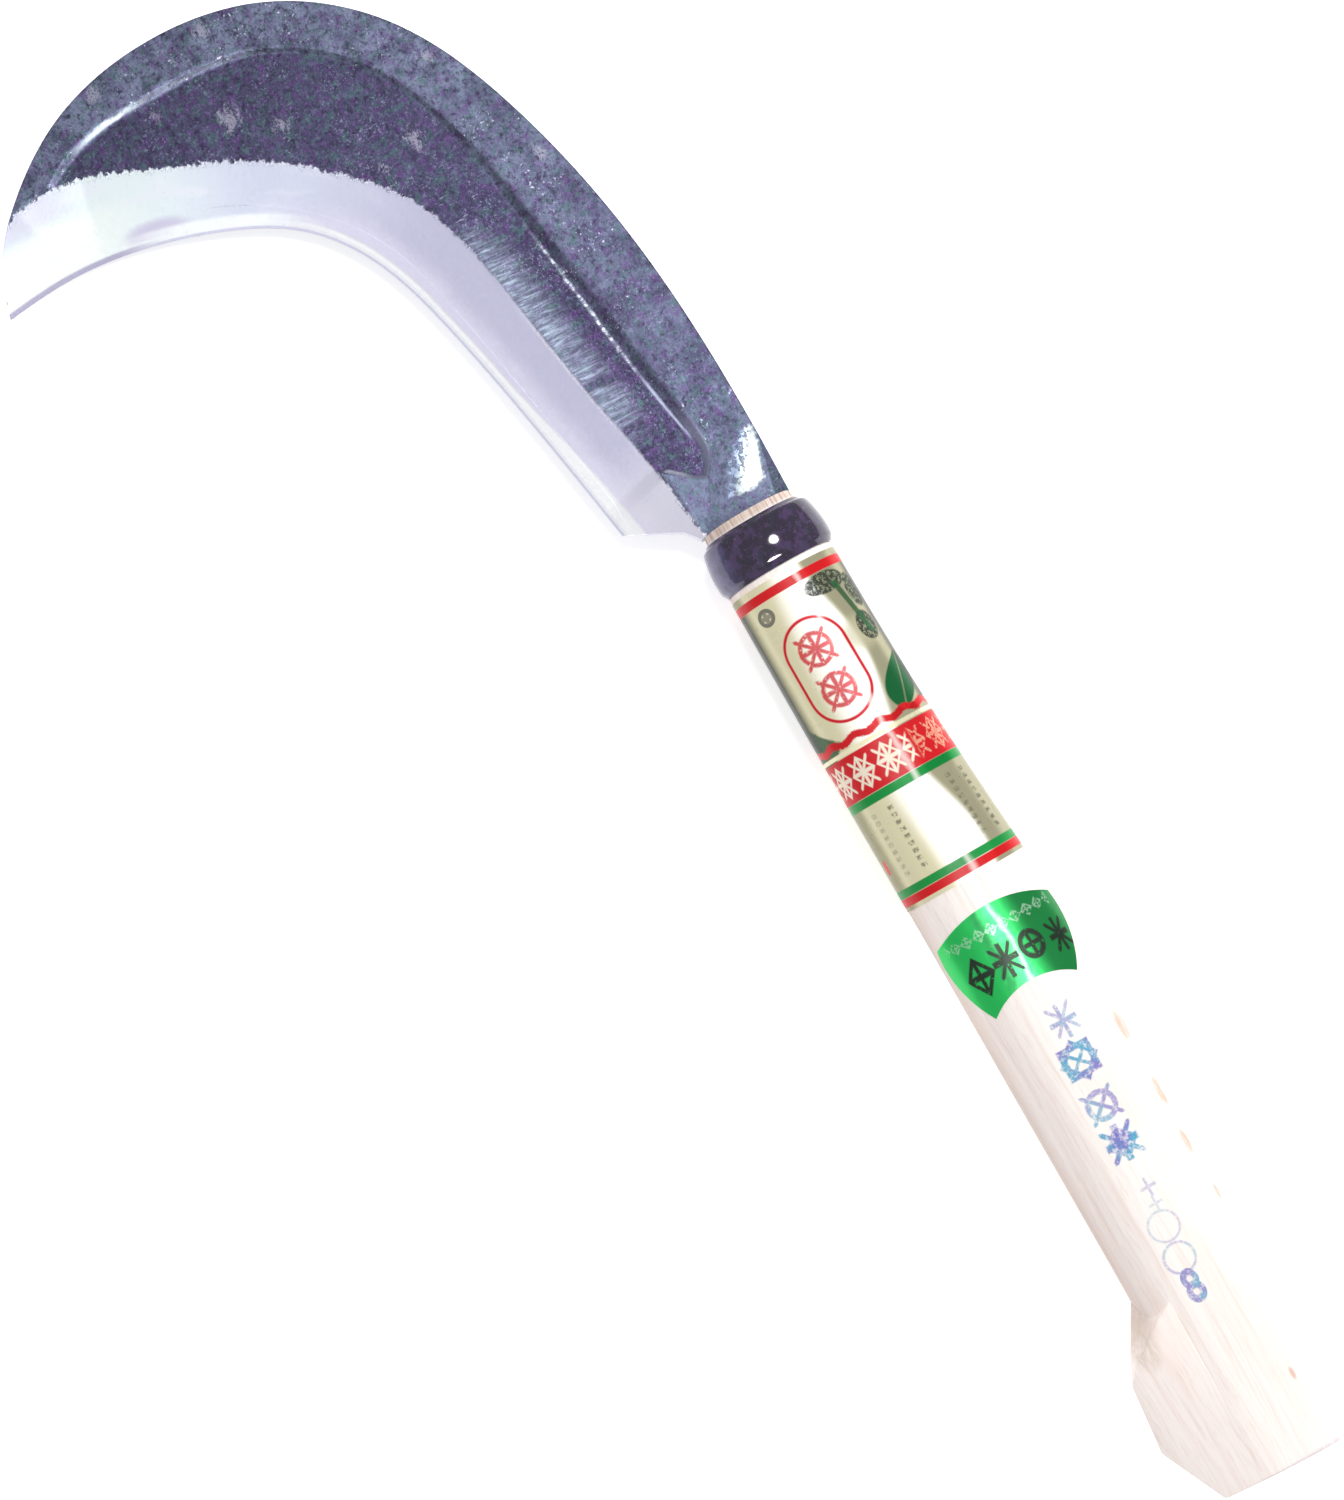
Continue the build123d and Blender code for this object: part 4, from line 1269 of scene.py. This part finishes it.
def wrap_surface():
    """Printed foil: red and green stripes, leaves, flowers in a red rounded frame, and ornaments, over
    painted reflections: a white shine on the front, olive towards the spine, darker at both edges, and a
    painted glint along the front.
    """
    look = Look("wrap_foil")
    x = look.field("print_x")
    v = look.field("print_y")
    crease = look.noise(look.place, 6.0, 2)
    smudge = look.noise(look.place, 0.7, 2, 0.7)
    turn = look.math("SINE", (x - 31.0) * 0.112) * 2.3
    left = v - (abs(x - 55.0) - 10.0).most(0.0) * 0.1
    # Painted reflections: a white shine over the front, dimmed at a soft spot, and a darker olive side
    # towards the spine.
    soft_spot = spot(x, v, *SOFT_SPOT, 0.9)
    painted_shine = left.past(-9.6, -5.2) * (v - turn).past(7.0, 4.8)
    painted_shine = painted_shine * (1.0 - soft_spot * 0.8)
    side = (v - turn).past(4.8, 7.2) * (1.0 - soft_spot * 0.6)

    # Pine foliage in dark, speckled clusters, with a green line over them.
    needles = look.noise((x, v, 0.0), 1.1, 3, 0.8).over(0.40, 0.50)
    foliage = any_of([spot(x, v, *place) for place in FOLIAGE])
    (leaf_x, leaf_y), (leaf_length, leaf_width) = LEAF
    leaf_bend = v - front_arc(leaf_y) + (x - leaf_x) * LEAF_SLOPE
    leaf_share = (x - leaf_x) / leaf_length
    leaf = ((1.0 - leaf_share * leaf_share) * leaf_width - abs(leaf_bend)).over(-0.3, 0.4)
    leaf = leaf * (1.0 - abs(leaf_bend).over(0.45, 0.2) * 0.4)
    bank_x, bank_v = seen_from(x, v, *BANK)
    bank = (abs(bank_x) + abs(bank_v) + (smudge - 0.5) * 0.2).over(1.06, 0.94)
    back_leaf = blot(x, abs(v), (52.0, 36.0), (9.0, 6.0))
    twig = (v - front_arc(10.6) - (x - 33.0) * 0.22).near(0, 0.9, 0.3) * x.within(27, 43)
    low_twig = (v - front_arc(-15.3) + (smudge - 0.5) * 1.2).near(0, 0.35) * x.within(28, 57)
    disc_at = seen_from(x, v, *DISC)
    disc = hoop(*disc_at, 0.22).most(cross(*disc_at, 0.22) * 0.8)

    # The rounded frame, and the two flowers in it.
    dx = x - FRAME_MIDDLE[0]
    dv = v - front_arc(FRAME_MIDDLE[1])
    past = (abs(dx) - FRAME_STRAIGHT).most(0.0)
    frame_line = look.math("SQRT", past * past + dv * dv).near(FRAME_RADIUS, 0.42, 0.2)
    flower = ((abs(dx) - FLOWER_OFFSET) / FLOWER_RADIUS, dv / FLOWER_RADIUS)
    petals = cross(*flower, 0.11).most(saltire(*flower, 0.13)).most(hoop(*flower, 0.12))
    flowers = petals * smudge.over(0.28, 0.40)

    # The red band's ornaments: bold light ones on the edge side, small gilt ones towards the spine.
    cell = ((x - ORNAMENT_ROW[0]) / ORNAMENT_ROW[1], look.repeat(v + front_arc(1.2), ORNAMENT_PITCH))
    light = saltire(*cell, 0.12).most(cross(*cell, 0.11)).most(lozenge(*cell, 0.09))
    gilt = light * smudge.over(0.40, 0.50)
    band = x.within(*ORNAMENT_BAND)

    # Small marks in four rows on the cream panel.
    tick = look.math("FLOORED_MODULO", x, 2.1).within(0.4, 1.5, 0.2)
    rows = any_of([v.near(front_arc(row), 0.75, 0.2) * strength for row, strength in SMALL_PRINT])
    marks = rows * tick * smudge.over(0.38, 0.52) * x.within(*PRINT_PANEL)

    wave = look.math("SINE", v * 0.85) * 0.5 + (smudge - 0.5) * 1.0
    start_stripe = x.within(*START_STRIPE)
    painted_edge_shade = abs(v).past(12.0, 14.6)
    outline = abs(v).past(13.1, 14.5)
    foil_with_painted_reflections = look.paint(
        (222, 216, 180),
        # Painted shade: olive at the low edge, and darker where the foil rolls round both edges.
        ((144, 139, 99), v.past(-12.8, -14.8) * 0.75),
        ((255, 252, 238), painted_shine),
        ((255, 255, 252), painted_shine * left.past(-6.5, -2.5)),
        ((168, 164, 136), side * 0.92),
        ((128, 124, 92), painted_edge_shade * 0.5),
    )
    colour = look.paint(
        foil_with_painted_reflections,
        ((40, 46, 42), foliage * needles * 0.95),
        ((40, 100, 58), foliage * (1.0 - needles) * 0.5),
        ((36, 96, 56), twig * 0.85),
        ((60, 92, 70), low_twig * 0.8),
        ((92, 92, 88), disc * 0.85),
        ((10, 92, 46), leaf.most(back_leaf)),
        ((14, 76, 38), bank * 0.9),
        ((206, 22, 40), frame_line.most(flowers * 0.9)),
        ((206, 16, 24), start_stripe),
        ((204, 24, 32), (x + wave).within(*WAVY_STRIPE, 0.25)),
        ((240, 234, 196), x.within(*CREAM_LINE)),
        ((204, 20, 30), band),
        ((238, 226, 206), band * light * v.past(5.5, 4.5)),
        ((232, 168, 140), band * gilt * v.past(5.5, 6.5) * 0.9),
        ((16, 142, 62), any_of([x.within(*stripe) for stripe in GREEN_STRIPES])),
        ((206, 16, 24), x.within(*END_STRIPE)),
        ((84, 84, 72), marks * 0.8),
        ((26, 30, 18), outline * x.within(*PICTURE) * 0.9),
        ((214, 60, 60), spot(x, v, *RED_MARK)),
        # Painted glint: a narrow white streak along the front, over the inks.
        ((255, 250, 244), (v + (crease - 0.5) * 3.0).near(front_arc(1.8), 0.6, 0.8) * 0.6),
    )
    end_stripes = x.within(GREEN_STRIPES[1][0], END_STRIPE[1])
    inked = any_of([foliage, leaf, band, start_stripe, end_stripes])
    return look.done(
        colour,
        roughness=0.25 + crease * 0.06 + inked * 0.08,
        height=crease * 0.16,
        metallic=0.6 - inked * 0.3 - painted_shine.most(v.past(3.0, 0.0)) * 0.5,
        specular=0.3,
    )


def seal_surface():
    """Green foil with black ornaments in a row and a fine silver row above them, over painted reflections:
    darker towards the spine, a dark band on the low side and a white streak down the front.
    """
    look = Look("seal_foil")
    x = look.field("print_x")
    v = look.field("print_y")
    crease = look.noise(look.place, 6.0, 2)
    speck = look.noise(look.place, 0.8, 2, 0.7)
    black = stamped(x, v, [(mark, (mark_x, front_arc(y)), *rest) for mark, (mark_x, y), *rest in SEAL_MARKS])
    cell = ((x - SEAL_ROW[0]) / SEAL_ROW[1], look.repeat(v, SEAL_ROW_PITCH))
    fine = lozenge(*cell, 0.18).most(cross(*cell, 0.14))
    fine = fine * abs(v).over(17, 15) * speck.over(0.40, 0.55)
    colour = look.paint(
        (34, 194, 92),
        # Painted reflections: darker towards the spine, a dark band on the low side, and a white streak down
        # the front.
        ((13, 128, 60), v.past(2, 7)),
        ((16, 140, 68), v.near(front_arc(-4.6), 1.6, 1.6)),
        ((216, 246, 224), (v + (crease - 0.5) * 4.0).near(front_arc(0.2), 0.45, 0.8) * 0.42),
        ((70, 206, 130), v.near(front_arc(15.6), 0.8, 0.4)),
        ((190, 224, 200), fine * 0.5),
        ((26, 44, 30), black * speck.over(0.28, 0.38)),
    )
    return look.done(
        colour,
        roughness=0.28 + crease * 0.08 + black * 0.1,
        height=crease * 0.16,
        metallic=0.45,
    )


def wedge_surface():
    """Split softwood, never finished."""
    look = Look("wedge_wood", own_coordinates=True)
    x, y, z = look.axes()
    grain = look.noise((x * 50.0, y * 1500.0, z * 1500.0), 1.0, 3, 0.65)
    colour = look.paint((216, 190, 150), ((180, 148, 108), grain.over(0.45, 0.65)))
    return look.done(colour, roughness=0.7 + grain * 0.15, height=grain * 0.1)


def pin_surface():
    """Plain drawn wire, a little dull."""
    look = Look("pin_steel", own_coordinates=True)
    fine = look.noise(look.place, 0.0008, 3, 0.7)
    colour = look.paint((150, 150, 156), ((96, 92, 96), fine.over(0.5, 0.68)))
    return look.done(colour, roughness=0.35 + fine * 0.25, height=fine * 0.02, metallic=0.9)


# ==== scene =========================================================================================
FLOOR_HALF = 3.0  # metres
FLOOR_DROP = 0.0002
# The camera looks down on the tool, leaning a little from the handle's side, and is turned so that the
# handle runs down to the right of the picture.
CAMERA_AIM = (43.60, -48.37, 0.0)
CAMERA_DISTANCE = 800.0
CAMERA_TILT = 4.0  # degrees
HANDLE_ON_PICTURE = 60.2  # degrees that the handle runs down from the picture's right
LENS = 73.85
SENSOR = 36.0


def soft_light(name, where, aim, size, watts):
    """A round softbox, placed and aimed in the tool's own axes."""
    data = bpy.data.lights.new(name, "AREA")
    data.shape = "DISK"
    data.size = size
    data.energy = watts
    light = bpy.data.objects.new(name, data)
    light.location = PLACE @ Vector(where)
    light.rotation_euler = (PLACE @ Vector(aim) - light.location).to_track_quat("-Z", "Y").to_euler()
    bpy.context.scene.collection.objects.link(light)
    return light


def make_floor():
    """A plain pale floor, a hair below the tool, that glows enough to wash out most shadows."""
    look = Look("pale_floor", own_coordinates=True)
    fine = look.noise(look.place, 0.02, 2)
    colour = look.mix((250, 250, 250), (246, 246, 248), fine)
    mesh = bpy.data.meshes.new("floor")
    corners = [(x * FLOOR_HALF, y * FLOOR_HALF, 0) for x, y in ((-1, -1), (1, -1), (1, 1), (-1, 1))]
    mesh.from_pydata(corners, [], [(0, 1, 2, 3)])
    mesh.materials.append(look.done(colour, roughness=0.8, height=fine * 0.02, glow=0.62))
    floor = bpy.data.objects.new("floor", mesh)
    floor.location.z = -FLOOR_DROP
    bpy.context.scene.collection.objects.link(floor)


def make_camera():
    """The camera, at the distance and the tilt above."""
    tilt = math.radians(CAMERA_TILT)
    back = Vector((math.sin(tilt), 0, math.cos(tilt)))
    along = Vector((math.cos(tilt), 0, -math.sin(tilt)))
    across = back.cross(along)
    turn = math.radians(HANDLE_ON_PICTURE)
    right = along * math.cos(turn) + across * math.sin(turn)
    up = back.cross(right)
    axes = PLACE.to_3x3().normalized() @ Matrix((right, up, back)).transposed()
    data = bpy.data.cameras.new("camera")
    data.sensor_fit = "VERTICAL"
    data.sensor_height = SENSOR
    data.lens = LENS
    camera = bpy.data.objects.new("camera", data)
    where = PLACE @ (Vector(CAMERA_AIM) + back * CAMERA_DISTANCE)
    camera.matrix_world = Matrix.Translation(where) @ axes.to_4x4()
    bpy.context.scene.collection.objects.link(camera)
    bpy.context.scene.camera = camera


def make_light():
    """An even white room, a broad soft sun from the spine's side and two softboxes overhead."""
    world = bpy.data.worlds.new("studio")
    world.use_nodes = True
    background = world.node_tree.nodes["Background"]
    background.inputs["Color"].default_value = (1, 1, 1, 1)
    background.inputs["Strength"].default_value = 0.5
    bpy.context.scene.world = world
    sun = bpy.data.lights.new("sun", "SUN")
    sun.energy = 1.95
    sun.angle = math.radians(40)
    lamp = bpy.data.objects.new("sun", sun)
    lamp.rotation_euler = Vector((-0.1, 0.8, 0.75)).to_track_quat("Z", "Y").to_euler()
    lamp.visible_glossy = False
    bpy.context.scene.collection.objects.link(lamp)
    soft_light("softbox", (-160, 145, 790), (10, 0, 0), size=0.15, watts=1.9)
    low = soft_light("low_light", (250, 10, 690), (14, 0, 14), size=0.20, watts=3.2)
    low.visible_diffuse = False
    bpy.context.scene.view_settings.view_transform = "Standard"


blade_pieces(steel_surface("forged_iron"), steel_surface("edge_steel"))
handle_piece(wood_surface())
ferrule_piece(enamel_surface())
wrap_piece(wrap_surface())
seal_piece(seal_surface())
for node, surface in (("tang_wedge", wedge_surface()), ("tang_pin", pin_surface())):
    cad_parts[node].data.materials.clear()
    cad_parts[node].data.materials.append(surface)
make_floor()
make_camera()
make_light()
